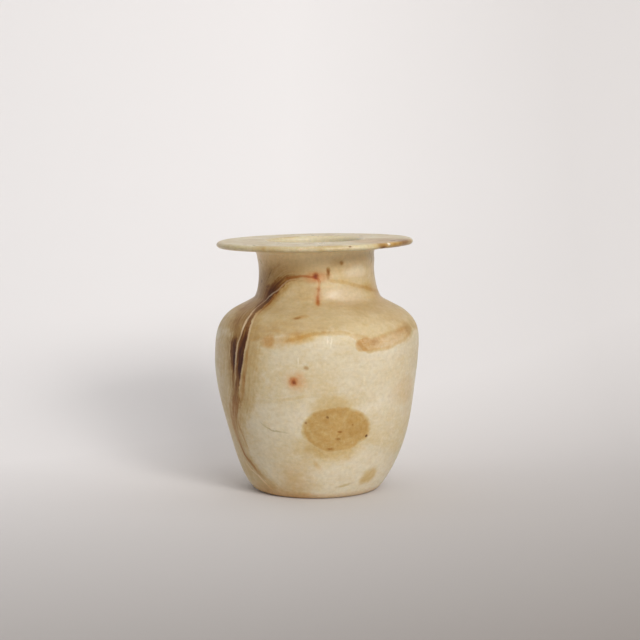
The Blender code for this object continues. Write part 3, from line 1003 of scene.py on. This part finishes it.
    def material(self, form: JarForm, ribbons: Sequence[Ribbon]) -> bpy.types.Material:
        """Builds the stone's material.

        Args:
            form: The jar, for where the marks lie.
            ribbons: The bands of the vein.

        Returns:
            The material, which reads Object coordinates and the courses' attributes.
        """
        stone = bpy.data.materials.new("rubbed_calcite_alabaster")
        stone.use_nodes = True
        tree = stone.node_tree
        tree.nodes.clear()
        place = put(tree, "ShaderNodeTexCoord").outputs["Object"]
        warped = self.warp(tree, place, size_mm=9.0, reach_mm=1.0)
        lightly = self.warp(tree, place, size_mm=1.6, reach_mm=0.3)
        colour = self.clouds(tree, place)
        colour = self.zones(tree, place, warped, colour)
        colour = self.vein(tree, place, ribbons, colour)
        for kind in MarkKind:
            colour = self.inclusions_and_painted_light(tree, form, kind, warped, lightly, colour)
        colour = self.lines(tree, place, colour)
        colour, bump = self.grain(tree, place, colour)
        shader = put(tree, "ShaderNodeBsdfPrincipled",
                     {"Base Color": colour, "Roughness": self.gloss(tree, place), "IOR": 1.5,
                      "Specular IOR Level": self.specular_level,
                      "Subsurface Weight": self.glow, "Subsurface Radius": self.glow_radius,
                      "Subsurface Scale": self.glow_mm * MM, "Normal": bump})
        put(tree, "ShaderNodeOutputMaterial", {"Surface": shader.outputs[0]})
        return stone

    @staticmethod
    def warp(tree: bpy.types.NodeTree, place: bpy.types.NodeSocket, size_mm: float,
             reach_mm: float) -> bpy.types.NodeSocket:
        """Coordinates that wander, so that no patch has a plain edge.

        Args:
            tree: The material's tree.
            place: The coordinates to disturb.
            size_mm: How long a wander is.
            reach_mm: How far it goes.

        Returns:
            The disturbed coordinates.
        """
        wander = put(tree, "ShaderNodeTexNoise", {"Vector": place, "Scale": 1 / (size_mm * MM),
                                                  "Detail": 3.0, "Roughness": 0.6})
        centred = put(tree, "ShaderNodeVectorMath", {0: wander.outputs["Color"], 1: (0.5, 0.5, 0.5)},
                      operation="SUBTRACT")
        return put(tree, "ShaderNodeVectorMath",
                   {0: centred.outputs[0], 1: (4 * reach_mm * MM,) * 3, 2: place},
                   operation="MULTIPLY_ADD").outputs[0]

    @staticmethod
    def blend(tree: bpy.types.NodeTree, under: Any, over: Any, share: Any) -> bpy.types.NodeSocket:
        """Lays one colour over another by a share from 0 to 1."""
        mix = put(tree, "ShaderNodeMix", {0: share, 6: under, 7: over}, data_type="RGBA")
        return mix.outputs[2]

    def tint(self, hex_colour: str) -> tuple[float, ...]:
        """What a stain lets through, where it turns the matched cream to this colour."""
        pairs = zip(linear(hex_colour), linear(self.matched_cream))
        return tuple(min(stained / plain, 1.0) for stained, plain in pairs)

    @staticmethod
    def stain(tree: bpy.types.NodeTree, under: Any, tint: Any, amount: Any) -> bpy.types.NodeSocket:
        """Stains the stone as a see-through colour does, deeper by a power of its tint.

        Args:
            tree: The material's tree.
            under: The colour so far.
            tint: What the stain lets through at an amount of 1.
            amount: How much stain there is.

        Returns:
            The stained colour.
        """
        through = put(tree, "ShaderNodeGamma", {"Color": tint, "Gamma": amount})
        return put(tree, "ShaderNodeMix", {0: 1.0, 6: under, 7: through.outputs[0]},
                   data_type="RGBA", blend_type="MULTIPLY").outputs[2]

    def clouds(self, tree: bpy.types.NodeTree, place: bpy.types.NodeSocket) -> bpy.types.NodeSocket:
        """The cream ground, clouded paler and warmer and mottled more finely.

        Args:
            tree: The material's tree.
            place: Object coordinates.

        Returns:
            The ground's colour.
        """
        level = put(tree, "ShaderNodeVectorMath", {0: place, 1: (1.0, 1.0, 1.5)},
                    operation="MULTIPLY").outputs[0]
        broad = put(tree, "ShaderNodeTexNoise", {"Vector": level, "Scale": 1 / (self.cloud_mm * MM),
                                                 "Detail": 3.0, "Roughness": 0.5,
                                                 "Distortion": 0.3}).outputs[0]
        pale = put(tree, "ShaderNodeMapRange", {"Value": broad, "From Min": 0.48,
                                                "From Max": 0.62}).outputs[0]
        warm = put(tree, "ShaderNodeMapRange", {"Value": broad, "From Min": 0.49,
                                                "From Max": 0.36, "To Max": 0.8}).outputs[0]
        colour = self.blend(tree, linear(self.cream), linear(self.pale_cream), pale)
        colour = self.blend(tree, colour, linear(self.warm_cream), warm)
        mottle = put(tree, "ShaderNodeTexNoise", {"Vector": level,
                                                  "Scale": 1 / (self.mottle_mm * MM),
                                                  "Detail": 4.0, "Roughness": 0.65}).outputs[0]
        darker = put(tree, "ShaderNodeMapRange", {"Value": mottle, "From Min": 0.50,
                                                  "From Max": 0.68, "To Max": 0.36}).outputs[0]
        colour = self.stain(tree, colour, self.tint(self.mottle_dark), darker)
        lighter = put(tree, "ShaderNodeMapRange", {"Value": mottle, "From Min": 0.46,
                                                   "From Max": 0.30, "To Max": 0.42}).outputs[0]
        return self.blend(tree, colour, linear(self.mottle_pale), lighter)

    @staticmethod
    def within(tree: bpy.types.NodeTree, height: bpy.types.NodeSocket,
               zone: Zone) -> bpy.types.NodeSocket:
        """How much of a zone's colour there is at each height."""
        return put(tree, "ShaderNodeMapRange", {"Value": height, "From Min": zone.start,
                                                "From Max": zone.full,
                                                "To Max": zone.share}).outputs[0]

    def zones(self, tree: bpy.types.NodeTree, place: bpy.types.NodeSocket,
              warped: bpy.types.NodeSocket, colour: bpy.types.NodeSocket) -> bpy.types.NodeSocket:
        """Amber over the shoulder, olive up the neck (partly painted shade) and greenish cream on the
        rim.

        Args:
            tree: The material's tree.
            place: Object coordinates.
            warped: Coordinates that wander.
            colour: The colour so far.

        Returns:
            The colour with its zones.
        """
        height = put(tree, "ShaderNodeSeparateXYZ", {0: warped}).outputs[2]
        true_height = put(tree, "ShaderNodeSeparateXYZ", {0: place}).outputs[2]
        above = put(tree, "ShaderNodeAttribute", attribute_name="shoulder_mm").outputs["Fac"]
        fray = put(tree, "ShaderNodeTexNoise", {"Vector": place, "Scale": 1 / (5 * MM),
                                                "Detail": 4.0, "Roughness": 0.65}).outputs[0]
        frayed = put(tree, "ShaderNodeMath", {0: fray, 1: 5.0, 2: above},
                     operation="MULTIPLY_ADD").outputs[0]
        covered = put(tree, "ShaderNodeMapRange", {"Value": frayed, "From Min": 1.8,
                                                   "From Max": 4.2}).outputs[0]
        streaks = put(tree, "ShaderNodeMapping", {"Vector": warped, "Scale": (28.0, 28.0, 120.0)})
        streak = put(tree, "ShaderNodeTexNoise", {"Vector": streaks.outputs[0], "Scale": 1.0,
                                                  "Detail": 4.0, "Roughness": 0.6}).outputs[0]
        deep = put(tree, "ShaderNodeMapRange", {"Value": streak, "From Min": 0.42,
                                                "From Max": 0.68}).outputs[0]
        shoulder = self.blend(tree, self.tint(self.amber), self.tint(self.deep_amber), deep)
        colour = self.stain(tree, colour, shoulder, covered)
        # olive high on the neck, partly painted shade under the rim
        neck = self.within(tree, height, self.neck_zone)
        colour = self.stain(tree, colour, self.tint(self.neck_zone.colour), neck)
        # painted light pales the neck under the rim; the heel's tan is partly painted contact shade
        for zone in self.zones_over:
            share = self.within(tree, true_height, zone)
            colour = self.blend(tree, colour, linear(zone.colour), share)
        rim = self.within(tree, true_height, self.rim_zone)
        patch = put(tree, "ShaderNodeTexNoise", {"Vector": place, "Scale": 1 / (11 * MM),
                                                 "Detail": 6.0, "Roughness": 0.72}).outputs[0]
        pale = put(tree, "ShaderNodeMapRange", {"Value": patch, "From Min": 0.48,
                                                "From Max": 0.62}).outputs[0]
        tan = put(tree, "ShaderNodeMapRange", {"Value": patch, "From Min": 0.48, "From Max": 0.34,
                                               "To Max": 0.6}).outputs[0]
        rim_colour = self.blend(tree, linear(self.rim_zone.colour), linear(self.rim_pale), pale)
        rim_colour = self.blend(tree, rim_colour, linear(self.rim_tan), tan)
        colour = self.blend(tree, colour, rim_colour, rim)
        # the hollow's paler cream, partly painted light against the shade inside
        inside = put(tree, "ShaderNodeAttribute", attribute_name="inside").outputs["Fac"]
        return self.blend(tree, colour, linear(self.inside_cream), inside)

    def vein(self, tree: bpy.types.NodeTree, place: bpy.types.NodeSocket,
             ribbons: Sequence[Ribbon], colour: bpy.types.NodeSocket) -> bpy.types.NodeSocket:
        """The broad brown vein: ribbons of colour side by side along its edge.

        Args:
            tree: The material's tree.
            place: Object coordinates.
            ribbons: The ribbons, in the order in which their places were written.
            colour: The colour so far.

        Returns:
            The colour with the vein in it.
        """
        fray = put(tree, "ShaderNodeTexNoise", {"Vector": place, "Scale": 1 / (3 * MM),
                                                "Detail": 4.0, "Roughness": 0.6}).outputs[0]
        shift = put(tree, "ShaderNodeMath", {0: fray, 1: 0.5}, operation="SUBTRACT").outputs[0]
        across = put(tree, "ShaderNodeAttribute", attribute_name="vein_mm").outputs["Fac"]
        along = put(tree, "ShaderNodeAttribute", attribute_name="vein_along_mm").outputs["Fac"]
        streaks = put(tree, "ShaderNodeCombineXYZ", {0: across, 1: along})
        streaks = put(tree, "ShaderNodeVectorMath", {0: streaks.outputs[0], 1: (0.9, 0.07, 1.0)},
                      operation="MULTIPLY")
        streak = put(tree, "ShaderNodeTexNoise", {"Vector": streaks.outputs[0], "Scale": 1.0,
                                                  "Detail": 4.0, "Roughness": 0.65}).outputs[0]
        thinner = put(tree, "ShaderNodeMapRange", {"Value": streak, "From Min": 0.32,
                                                   "From Max": 0.62, "To Min": 0.55,
                                                   "To Max": 1.15}).outputs[0]
        for tone in VeinTone:
            cover = 0.0
            for number, ribbon in enumerate(ribbons):
                if ribbon.tone is tone:
                    inside = self.across_ribbon(tree, number, ribbon, shift)
                    cover = put(tree, "ShaderNodeMath", {0: cover, 1: inside},
                                operation="ADD").outputs[0]
            cover = put(tree, "ShaderNodeMath", {0: cover, 1: thinner},
                        operation="MULTIPLY").outputs[0]
            if tone is VeinTone.PALE:
                colour = self.blend(tree, colour, linear(tone.value), cover)
            else:
                colour = self.stain(tree, colour, self.tint(tone.value), cover)
        return colour

    @staticmethod
    def across_ribbon(tree: bpy.types.NodeTree, number: int, ribbon: Ribbon,
                      shift: bpy.types.NodeSocket) -> bpy.types.NodeSocket:
        """How much of one ribbon there is.

        Args:
            tree: The material's tree.
            number: Its number among the ribbons.
            ribbon: The ribbon, for how its sides fade.
            shift: A little noise about 0, which frays the sides.

        Returns:
            The ribbon's cover, with the strength that was written for it.
        """
        name = f"ribbon{number}"
        share = put(tree, "ShaderNodeAttribute", attribute_name=name + "_share").outputs["Fac"]
        power = put(tree, "ShaderNodeAttribute", attribute_name=name + "_power").outputs["Fac"]
        frayed = put(tree, "ShaderNodeMath", {0: shift, 1: 1.8, 2: share},
                     operation="MULTIPLY_ADD").outputs[0]
        right = put(tree, "ShaderNodeMapRange",
                    {"Value": frayed, "From Min": -1 - ribbon.crisp, "From Max": -1 + ribbon.crisp,
                     "To Max": power}, interpolation_type="SMOOTHSTEP")
        left = put(tree, "ShaderNodeMapRange",
                   {"Value": frayed, "From Min": 1 + ribbon.soft, "From Max": 1 - ribbon.soft},
                   interpolation_type="SMOOTHSTEP")
        return put(tree, "ShaderNodeMath", {0: right.outputs[0], 1: left.outputs[0]},
                   operation="MULTIPLY").outputs[0]

    def inclusions_and_painted_light(self, tree: bpy.types.NodeTree, form: JarForm, kind: MarkKind,
                   warped: bpy.types.NodeSocket, lightly: bpy.types.NodeSocket,
                   colour: bpy.types.NodeSocket) -> bpy.types.NodeSocket:
        """Every mark of one kind, in the colour.

        Args:
            tree: The material's tree.
            form: The jar, for where the marks lie.
            kind: Which marks, and their colour.
            warped: Coordinates that wander far, for the large marks.
            lightly: Coordinates that wander little, for the small ones.
            colour: The colour so far.

        Returns:
            The colour with the marks in it.
        """
        cover = None
        for mark in (m for m in self.marks if m.kind is kind):
            large = min(mark.across, mark.upright) > self.large_mm
            where = mark.matrix(form)
            depth = max(mark.across, mark.upright) * self.mark_depth
            reach = (1 + mark.softness) * MM
            local = put(tree, "ShaderNodeMapping",
                        {"Vector": warped if large else lightly, "Location": where.translation,
                         "Rotation": where.to_euler(),
                         "Scale": (mark.across * reach, mark.upright * reach, depth * reach)},
                        vector_type="TEXTURE")
            # the ball falls from 1 in the mark's middle to 0 where its edge has faded
            ball = put(tree, "ShaderNodeTexGradient", {"Vector": local.outputs[0]},
                       gradient_type="SPHERICAL")
            inside = put(tree, "ShaderNodeMapRange",
                         {"Value": ball.outputs["Fac"], "From Min": 0.0,
                          "From Max": 2 * mark.softness / (1 + mark.softness),
                          "To Max": mark.strength}, interpolation_type="SMOOTHSTEP").outputs[0]
            cover = inside if cover is None else put(
                tree, "ShaderNodeMath", {0: cover, 1: inside}, operation="MAXIMUM").outputs[0]
        if kind is MarkKind.CHALK:
            return self.blend(tree, colour, linear(kind.value), cover)
        uneven = put(tree, "ShaderNodeTexNoise", {"Vector": warped, "Scale": 1 / (2.6 * MM),
                                                  "Detail": 4.0, "Roughness": 0.65}).outputs[0]
        amount = put(tree, "ShaderNodeMapRange", {"Value": uneven, "From Min": 0.3, "From Max": 0.7,
                                                  "To Min": 0.72, "To Max": 1.28}).outputs[0]
        cover = put(tree, "ShaderNodeMath", {0: cover, 1: amount}, operation="MULTIPLY").outputs[0]
        return self.stain(tree, colour, self.tint(kind.value), cover)

    def lines(self, tree: bpy.types.NodeTree, place: bpy.types.NodeSocket,
              colour: bpy.types.NodeSocket) -> bpy.types.NodeSocket:
        """Thin rust and amber threads and cracks.

        Args:
            tree: The material's tree.
            place: Object coordinates.
            colour: The colour so far.

        Returns:
            The colour with the lines in it.
        """
        wander = put(tree, "ShaderNodeTexNoise", {"Vector": place, "Scale": 1 / (2.5 * MM),
                                                  "Detail": 3.0, "Roughness": 0.6}).outputs[0]
        shift = put(tree, "ShaderNodeMath", {0: wander, 1: 0.5}, operation="SUBTRACT").outputs[0]
        for kind in LineKind:
            name, shade, half_width, soft = kind.value
            away = put(tree, "ShaderNodeAttribute", attribute_name=name + "_mm").outputs["Fac"]
            power = put(tree, "ShaderNodeAttribute", attribute_name=name + "_power").outputs["Fac"]
            away = put(tree, "ShaderNodeMath", {0: shift, 1: 1.4, 2: away},
                       operation="MULTIPLY_ADD").outputs[0]
            away = put(tree, "ShaderNodeMath", {0: away}, operation="ABSOLUTE").outputs[0]
            inside = put(tree, "ShaderNodeMapRange",
                         {"Value": away, "From Min": half_width + soft, "From Max": half_width},
                         interpolation_type="SMOOTHSTEP").outputs[0]
            cover = put(tree, "ShaderNodeMath", {0: inside, 1: power},
                        operation="MULTIPLY").outputs[0]
            colour = self.stain(tree, colour, self.tint(shade), cover)
        return colour

    def grain(self, tree: bpy.types.NodeTree, place: bpy.types.NodeSocket,
              colour: bpy.types.NodeSocket) -> tuple[bpy.types.NodeSocket, bpy.types.NodeSocket]:
        """The sugary grain and the rubbing lines, as colour and as relief.

        Args:
            tree: The material's tree.
            place: Object coordinates.
            colour: The colour so far.

        Returns:
            The colour, and the normal for the shader.
        """
        sugar = put(tree, "ShaderNodeTexNoise", {"Vector": place, "Scale": 1 / (self.grain_mm * MM),
                                                 "Detail": 3.0, "Roughness": 0.7}).outputs[0]
        rubbed = put(tree, "ShaderNodeMapping",
                     {"Vector": place, "Scale": (60.0, 60.0, 1 / (self.rub_mm * MM))})
        rub = put(tree, "ShaderNodeTexNoise", {"Vector": rubbed.outputs[0], "Scale": 1.0,
                                               "Detail": 3.0, "Roughness": 0.55}).outputs[0]
        both = put(tree, "ShaderNodeMath", {0: rub, 1: 0.2, 2: sugar}, operation="MULTIPLY_ADD")
        light = put(tree, "ShaderNodeMapRange",
                    {"Value": both.outputs[0], "From Min": 0.35, "From Max": 0.85, "To Min": 0.90,
                     "To Max": 1.08}).outputs[0]
        shade = put(tree, "ShaderNodeCombineXYZ", {0: light, 1: light, 2: light}).outputs[0]
        colour = put(tree, "ShaderNodeMix", {0: 1.0, 6: colour, 7: shade}, data_type="RGBA",
                     blend_type="MULTIPLY").outputs[2]
        bump = put(tree, "ShaderNodeBump", {"Strength": 0.25, "Distance": 0.05 * MM,
                                            "Height": both.outputs[0]})
        return colour, bump.outputs[0]

    def gloss(self, tree: bpy.types.NodeTree, place: bpy.types.NodeSocket) -> bpy.types.NodeSocket:
        """Roughness, uneven where the rubbing was, and finer up the neck.

        Args:
            tree: The material's tree.
            place: Object coordinates.

        Returns:
            The roughness.
        """
        patch = put(tree, "ShaderNodeTexNoise", {"Vector": place, "Scale": 1 / (8 * MM),
                                                 "Detail": 4.0, "Roughness": 0.6}).outputs[0]
        height = put(tree, "ShaderNodeSeparateXYZ", {0: place}).outputs[2]
        low, high = self.gloss_change
        level = put(tree, "ShaderNodeMapRange", {"Value": height, "From Min": low,
                                                 "From Max": high, "To Min": self.roughness,
                                                 "To Max": self.neck_roughness}).outputs[0]
        return put(tree, "ShaderNodeMath", {0: patch, 1: self.uneven_gloss, 2: level},
                   operation="MULTIPLY_ADD").outputs[0]


@dataclass
class AlabasterVase:
    """The whole jar: one piece, turned, chipped, cracked and veined."""

    form: JarForm = field(default_factory=JarForm)
    finish: AlabasterFinish = field(default_factory=AlabasterFinish)
    veins: Veins = field(default_factory=Veins)
    steps: int = 420
    unevenness: float = 0.10 * MM
    seed: float = 3.0
    chip_azimuths: tuple[float, float] = (38.0, 80.0)
    chip_depth: float = 0.7 * MM
    chip_break: float = 3.0  # degrees over which its first side drops
    chip_fade: float = 16.0  # degrees over which its other side runs out
    chip_reach: float = 4.5 * MM  # how far in from the rim's edge it goes
    chip_slope: float = 3.5 * MM  # the part of that in which it deepens
    chip_height: float = 2.7 * MM  # how far it goes up the edge
    chip_soften: float = 1.0 * MM  # the part of that in which it fades, and its room below
    chip_grain: float = 2.4 * MM  # size of its roughness
    crack_depth: float = 0.15 * MM
    crack_half_width: float = 0.9  # mm, the mesh's steps being about that
    crack_reach: float = 3.0  # mm from a crack within which vertices are measured
    least_wall: float = 3.0 * MM  # further in than this below the outside is the hollow
    widest_hollow: float = 25 * MM  # beyond the mouth's radius
    bore_margin: float = 1.0 * MM  # and up the neck, nearer the bore than this
    inside_fade: float = 0.8 * MM
    inside_from: float = 5.0 * MM  # the lowest height that can be in the hollow
    vein_reach: float = 45.0  # mm from the vein's edge that its ribbons reach
    shoulder_line: tuple[tuple[float, float], ...] = (
        # azimuth and height where the amber of the shoulder starts
        (-180, 84), (-150, 82), (-120, 85), (-90, 84), (-60, 86), (-45, 80), (-35, 82), (-28, 85),
        (-20, 85.5), (-10, 85.5), (0, 86.5), (10, 88), (18, 87), (25, 84), (35, 83.5), (50, 84),
        (65, 85), (90, 83), (120, 85), (150, 86), (180, 84))

    def build(self) -> bpy.types.Object:
        """Makes the piece and hands it to the frame.

        Returns:
            The finished object.
        """
        stone = self.finish.material(self.form, self.veins.ribbons)
        mesh = Turning(self.form, self.steps, self.unevenness, self.seed).mesh("vase_stone", stone)
        surface = Surface(mesh, self.form)
        surface.push(self.chip(surface) + self.open_cracks(surface))
        self.write_courses(surface)
        piece = bpy.data.objects.new("vase_stone", mesh)
        bpy.context.scene.collection.objects.link(piece)
        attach(piece, "root")
        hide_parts("vase")
        return piece

    def chip(self, surface: Surface) -> np.ndarray:
        """The chip in the rim's lower edge.

        Args:
            surface: The turned mesh's vertices.

        Returns:
            How deep it is at each vertex, in metres.
        """
        x, y, z = surface.places.T
        radius = np.hypot(x, y)
        azimuth = np.degrees(np.arctan2(x, -y))
        first, last = self.chip_azimuths
        level = self.form.underside + x * math.tan(self.form.rim_tilt)
        opening = (eased((azimuth - first) / self.chip_break)
                   * eased((last - azimuth) / self.chip_fade))
        out = eased((radius - self.form.rim_radius + self.chip_reach) / self.chip_slope)
        low = eased((level + self.chip_height - z) / self.chip_soften)
        low *= z > level - self.chip_soften  # only the rim, not the body below it
        here = np.flatnonzero(opening * out * low > 0)
        depth = np.zeros(len(x))
        for index in here:
            rough = noise.fractal(Vector(surface.places[index]) / self.chip_grain, 0.8, 2.1, 4)
            depth[index] = self.chip_depth * (0.75 + 0.3 * rough)
        return depth * opening * out * low

    def open_cracks(self, surface: Surface) -> np.ndarray:
        """The open cracks.

        Args:
            surface: The turned mesh's vertices.

        Returns:
            How deep they are at each vertex, in metres.
        """
        depth = np.zeros(len(surface.places))
        for course in self.veins.lines:
            if course.kind is LineKind.CRACK:
                away, _, strength = surface.from_course(course, self.crack_reach)
                groove = 1 - eased(np.abs(away) / self.crack_half_width)
                depth = np.maximum(depth, groove * strength)
        return depth * self.crack_depth

    def write_courses(self, surface: Surface) -> None:
        """Writes the attributes that the stone material reads.

        Args:
            surface: The turned mesh's vertices.
        """
        across, along, strength = surface.from_course(self.veins.edge, self.vein_reach)
        surface.write("vein_mm", np.clip(across, -self.vein_reach, self.vein_reach))
        surface.write("vein_along_mm", along)
        for number, ribbon in enumerate(self.veins.ribbons):
            share, power = ribbon.measure(across, along)
            surface.write(f"ribbon{number}_share", share)
            surface.write(f"ribbon{number}_power", power * strength)
        for kind in LineKind:
            surface.write_lines(kind, self.veins.lines)
        x, y, z = surface.places.T
        azimuth = np.degrees(np.arctan2(x, -y))
        line = np.array(self.shoulder_line)
        surface.write("shoulder_mm", z / MM - np.interp(azimuth, line[:, 0], line[:, 1]))
        outside = np.interp(z, self.form.wall_heights, self.form.wall_radii)
        bored = np.minimum(outside - self.least_wall, self.form.mouth_radius + self.widest_hollow)
        bored = np.where(z > self.form.waist_height, self.form.mouth_radius + self.bore_margin,
                         bored)
        inside = eased((bored - np.hypot(x, y)) / self.inside_fade + 0.5)
        surface.write("inside", inside * (z > self.inside_from))


@dataclass(frozen=True)
class SoftBox:
    """A soft box that faces the point it is aimed at."""

    name: str
    azimuth: float  # degrees right of the front
    elevation: float  # degrees above the floor
    distance: float  # metres from what it is aimed at
    size: tuple[float, float]  # width and height in metres
    watts: float
    colour: str = "#FFFFFF"
    aim: tuple[float, float, float] = (0.0, 0.0, 0.07)


@dataclass
class Stage:
    """The pale sweep, the soft lights and the camera, all outside the object."""

    sweep_half_width: float = 1.6
    sweep_front: float = -1.2
    sweep_bend_start: float = 0.045
    sweep_bend_radius: float = 0.38
    sweep_height: float = 1.6
    sweep_colour: str = "#EDEAEA"
    # painted shade: the paper darkens to this colour towards the camera and to the right, for light
    # falling off
    painted_shade_colour: str = "#918B87"
    right_shade: tuple[float, float] = (-0.02, 0.18)  # metres to the right over which it darkens
    right_depth: float = 0.24  # share of the painted shade colour at the end of that
    shade_from_to: tuple[float, float] = (-0.36, 0.15)  # metres behind the vase's axis
    shade_skew: float = -0.5  # metres added to the depth for each metre to the right
    sweep_steps: int = 16
    paper_roughness: float = 0.9
    paper_specular: float = 0.2
    camera_distance: float = 0.9171
    camera_height: float = 0.1909
    camera_right: float = 0.00205
    camera_down: float = math.radians(6.418)
    lens: float = 100.0
    sensor: float = 36.0
    surround_colour: str = "#F8F8F7"
    surround_strength: float = 0.37
    boxes: tuple[SoftBox, ...] = (
        SoftBox("key_softbox", 27, 27, 1.3, (0.85, 0.42), 8.6, "#FFFDFA"),
        SoftBox("key_hot_centre", 30, 28, 1.29, (0.28, 0.28), 3.9, "#FFFDFA"),
        SoftBox("low_softbox", -8, 6, 1.3, (1.1, 0.25), 1.7),
        SoftBox("backdrop_softbox", 0, 55, 0.6, (1.8, 0.3), 1.5, "#FFFFFF", (0.0, 0.42, 0.3)),
    )

    def sweep(self) -> bpy.types.Object:
        """A floor that bends up into a backdrop, in one smooth sheet.

        Returns:
            The sweep.
        """
        profile = [(self.sweep_front, 0.0), (self.sweep_bend_start, 0.0)]
        for step in range(1, self.sweep_steps + 1):
            angle = math.radians(90) * step / self.sweep_steps
            profile.append((self.sweep_bend_start + self.sweep_bend_radius * math.sin(angle),
                            self.sweep_bend_radius * (1 - math.cos(angle))))
        profile.append((profile[-1][0], self.sweep_height))
        sides = (-self.sweep_half_width, self.sweep_half_width)
        points = [(x, y, z) for y, z in profile for x in sides]
        faces = [(2 * i, 2 * i + 1, 2 * i + 3, 2 * i + 2) for i in range(len(profile) - 1)]
        mesh = bpy.data.meshes.new("sweep")
        mesh.from_pydata(points, [], faces)
        mesh.shade_smooth()
        mesh.materials.append(self.paper())
        sweep = bpy.data.objects.new("sweep", mesh)
        bpy.context.scene.collection.objects.link(sweep)
        return sweep

    def paper(self) -> bpy.types.Material:
        """Matt paper, with painted shade that darkens it towards the camera and the right.

        Its back is clear, so that the sweep hides nothing from a view from behind.

        Returns:
            The sweep's material.
        """
        paper = bpy.data.materials.new("matt_background_paper")
        paper.use_nodes = True
        tree = paper.node_tree
        place = put(tree, "ShaderNodeTexCoord").outputs["Object"]
        side, depth, _ = put(tree, "ShaderNodeSeparateXYZ", {0: place}).outputs
        # painted shade: darker towards the camera and to the right
        along = put(tree, "ShaderNodeMath", {0: side, 1: self.shade_skew, 2: depth},
                    operation="MULTIPLY_ADD")
        near, far = self.shade_from_to
        share = put(tree, "ShaderNodeMapRange", {"Value": along.outputs[0], "From Min": near,
                                                 "From Max": far})
        shade = put(tree, "ShaderNodeMix", {0: share.outputs[0], 6: linear(self.painted_shade_colour),
                                            7: linear(self.sweep_colour)}, data_type="RGBA")
        right = put(tree, "ShaderNodeMapRange",
                    {"Value": side, "From Min": self.right_shade[0],
                     "From Max": self.right_shade[1], "To Max": self.right_depth})
        shade = put(tree, "ShaderNodeMix", {0: right.outputs[0], 6: shade.outputs[2],
                                            7: linear(self.painted_shade_colour)}, data_type="RGBA")
        shader = tree.nodes["Principled BSDF"]
        tree.links.new(shade.outputs[2], shader.inputs["Base Color"])
        shader.inputs["Roughness"].default_value = self.paper_roughness
        shader.inputs["Specular IOR Level"].default_value = self.paper_specular
        behind = put(tree, "ShaderNodeNewGeometry").outputs["Backfacing"]
        clear = put(tree, "ShaderNodeBsdfTransparent").outputs[0]
        either = put(tree, "ShaderNodeMixShader", {0: behind, 1: shader.outputs[0], 2: clear})
        tree.links.new(either.outputs[0], tree.nodes["Material Output"].inputs["Surface"])
        return paper

    @staticmethod
    def light(box: SoftBox) -> bpy.types.Object:
        """Adds one soft box.

        Args:
            box: Where it stands and what it gives.

        Returns:
            The light object.
        """
        lamp = bpy.data.lights.new(box.name, "AREA")
        lamp.shape, lamp.size, lamp.size_y = "RECTANGLE", *box.size
        lamp.energy, lamp.color = box.watts, linear(box.colour)[:3]
        holder = bpy.data.objects.new(box.name, lamp)
        turn, rise = math.radians(box.azimuth), math.radians(box.elevation)
        away = Vector((math.sin(turn) * math.cos(rise), -math.cos(turn) * math.cos(rise),
                       math.sin(rise)))
        holder.location = Vector(box.aim) + away * box.distance
        holder.rotation_euler = away.to_track_quat("Z", "Y").to_euler()
        bpy.context.scene.collection.objects.link(holder)
        return holder

    def lights(self) -> None:
        """The soft boxes and an even surround."""
        for box in self.boxes:
            self.light(box)
        world = bpy.data.worlds.new("even_surround")
        world.use_nodes = True
        background = world.node_tree.nodes["Background"]
        background.inputs["Color"].default_value = linear(self.surround_colour)
        background.inputs["Strength"].default_value = self.surround_strength
        bpy.context.scene.world = world

    def camera(self) -> bpy.types.Object:
        """The photograph's view: a long lens, a little above the rim.

        Returns:
            The camera.
        """
        data = bpy.data.cameras.new("view")
        data.lens, data.sensor_width = self.lens, self.sensor
        view = bpy.data.objects.new("view", data)
        view.location = (self.camera_right, -self.camera_distance, self.camera_height)
        view.rotation_euler = (math.pi / 2 - self.camera_down, 0.0, 0.0)
        bpy.context.scene.collection.objects.link(view)
        bpy.context.scene.camera = view
        return view


def main() -> None:
    """Builds the stage and the vase, and reports each piece."""
    logging.basicConfig(level=logging.INFO, format="%(name)s: %(message)s")
    bpy.context.scene.view_settings.view_transform = "Standard"
    stage = Stage()
    stage.camera()
    stage.sweep()
    stage.lights()
    LOG.info("stage, lights and camera are set")
    piece = AlabasterVase().build()
    LOG.info("%s has %d faces", piece.name, len(piece.data.polygons))


if __name__ == "__main__":
    main()
